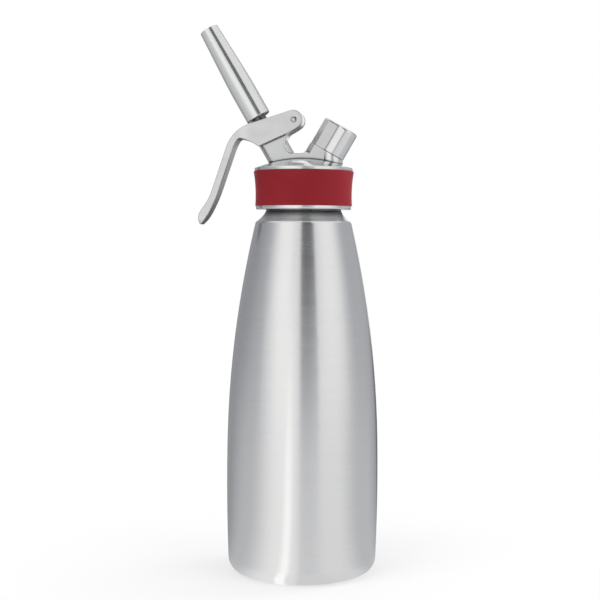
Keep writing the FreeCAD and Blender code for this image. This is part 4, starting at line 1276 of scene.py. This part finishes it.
@dataclass
class Studio:
    """The pale floor, the soft lights and the camera.

    Attributes:
        lens: the camera's focal length, in millimetres.
        sensor: the width of the camera's sensor, in millimetres.
        azimuth: how far the camera stands round towards +X, in degrees.
        pitch: how far it looks down, in degrees.
        roll: how far it is turned, in degrees.
        distance: how far it stands from the bottle's axis, in metres.
        height: how high it stands, in metres.
        shift: how far it stands to its own left, in metres.
        rows: what polished metal sees of the room, from the table to the ceiling.
        tones: how much of red, green and blue dim places and white ones hold.
        tone_levels: the levels of those dim and white places.
        room_middle: the height that the floor's reflected room is seen from, in metres.
        floor_half: half the floor's width, in metres.
        lamps: the lamps that bring plain colours to their written level.
    """

    lens: float = 75.54
    sensor: float = 36.0
    azimuth: float = 7.0
    pitch: float = 2.865
    roll: float = -0.28
    distance: float = 0.8202
    height: float = 0.2183
    shift: float = 0.00205
    rows: tuple[Row, ...] = (TABLE_ROW, WALL_ROW, UPPER_ROW, HIGH_ROW, CEILING)
    tones: tuple[tuple[float, float], ...] = ((0.965, 1.0), (0.985, 0.995), (1.035, 0.985))
    tone_levels: tuple[float, float] = (0.3, 1.0)
    room_middle: float = 0.3
    floor_half: float = 4.0
    lamps: tuple[Lamp, ...] = (
        Lamp("key_light", (-0.9, -1.1, 1.3), 1.1, 11.0),
        Lamp("fill_light", (1.3, -0.7, 0.8), 1.0, 5.0),
        Lamp("edge_light", (1.0, 0.62, 0.35), 0.6, 9.0),
    )

    def camera(self) -> None:
        """Makes the camera and gives it to the scene."""
        turn, down, roll = map(math.radians, (self.azimuth, self.pitch, self.roll))
        right = Vector((math.cos(turn), math.sin(turn), 0.0))
        forward = Vector((-math.sin(turn), math.cos(turn), 0.0))
        ahead = forward * math.cos(down) - Vector((0.0, 0.0, math.sin(down)))
        up = right.cross(ahead)
        place = Vector((0.0, 0.0, self.height)) - forward * self.distance - right * self.shift
        side = right * math.cos(roll) - up * math.sin(roll)
        top = right * math.sin(roll) + up * math.cos(roll)
        data = bpy.data.cameras.new("camera")
        data.lens = self.lens
        data.sensor_width = self.sensor
        camera = link("camera", data)
        columns = Matrix((side, top, -ahead)).transposed().to_4x4()
        camera.matrix_world = Matrix.Translation(place) @ columns
        bpy.context.scene.camera = camera

    def room(self) -> Group:
        """What polished metal sees of the room in each direction.

        Returns:
            The group, with output Light.
        """
        g = Group("room_light", ["Light"], "NodeSocketColor", Way=(0.0, -1.0, 0.0))
        way = g.parts(g.vectors("NORMALIZE", g.given["Way"]))
        front = g.maths("MULTIPLY", way["Y"], -1.0)
        angle = g.maths("DEGREES", g.maths("ARCTAN2", way["X"], front))
        level = self.rows[0].level(g, angle)
        for row in self.rows[1:]:
            share = g.spread(way["Z"], row.foot, row.full, smooth=row.smooth)
            level = g.toward(level, row.level(g, angle), share)
        light = g.node("CombineColor")
        for channel, (dim, bright) in zip(light.inputs, self.tones):
            tone = g.spread(level, *self.tone_levels, dim, bright)
            g.put(g.maths("MULTIPLY", level, tone), channel)
        return g.give(Light=light.outputs["Color"])

    def floor(self, room: Group) -> None:
        """Makes the pale floor, which keeps a faint shadow and shows in polished metal.

        Args:
            room: the group that gives the room's light.
        """
        half = self.floor_half
        mesh = bpy.data.meshes.new("floor")
        edge = [(-half, -half, 0.0), (half, -half, 0.0), (half, half, 0.0), (-half, half, 0.0)]
        mesh.from_pydata(edge, [], [range(4)])
        g = Surface("floor_pale")
        g.material.cycles.emission_sampling = "NONE"
        g.feed(Base_Color=(0.86, 0.86, 0.86, 1.0), Roughness=0.9, Specular_IOR_Level=0.1)
        place = g.place()
        ray = g.node("LightPath").outputs
        way = g.vectors("SUBTRACT", place, (0.0, 0.0, self.room_middle))
        light = g.use(room, Way=way)["Light"]
        glow = g.fill(g.node("Emission"), Color=g.tint(ray["Is Camera Ray"], light, WHITE))
        share = g.spread(g.length(place), low=0.05, high=0.2, to_low=0.55, to_high=1.0)
        clear = g.maths("MULTIPLY", g.straight(ray), share)
        mixer = g.node("MixShader")
        glowing = g.maths("MAXIMUM", clear, ray["Is Glossy Ray"])
        for part, socket in zip((glowing, g.shader.outputs[0], glow.outputs[0]), mixer.inputs):
            g.put(part, socket)
        g.fill(g.tree.nodes["Material Output"], Surface=mixer.outputs[0])
        mesh.materials.append(g.material)
        link("floor", mesh)

    def surroundings(self, room: Group) -> None:
        """Stands the object in a room of soft lights before a white backdrop.

        Args:
            room: the group that gives the room's light.
        """
        world = bpy.data.worlds.new("studio")
        world.use_nodes = True
        bpy.context.scene.world = world
        g = Graph(world.node_tree)
        way = g.node("TexCoord").outputs["Generated"]
        ray = g.node("LightPath").outputs
        behind = g.spread(g.parts(way)["Y"], low=0.985, high=0.995)
        in_polish = g.maths("MULTIPLY", ray["Is Glossy Ray"], behind)
        white = g.maths("MAXIMUM", g.straight(ray), in_polish)
        backdrop = g.tint(white, g.use(room, Way=way)["Light"], WHITE)
        g.fill(g.tree.nodes["Background"], Color=backdrop, Strength=1.0)

    def build(self) -> None:
        """Builds the whole studio."""
        self.camera()
        room = self.room()
        self.floor(room)
        self.surroundings(room)
        for lamp in self.lamps:
            lamp.hang()
        bpy.context.scene.view_settings.view_transform = "Standard"


def main() -> None:
    """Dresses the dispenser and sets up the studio."""
    logging.basicConfig(level=logging.INFO, format="%(name)s: %(message)s")
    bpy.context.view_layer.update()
    Studio().build()
    finishes = Finishes()
    for kind in (BottleDress, HeadDress, LeverDress, ValveDress, NozzleDress, ChargingDress):
        kind(finishes).build()
        log.info("%s done", kind.__name__)


if __name__ == "__main__":
    main()
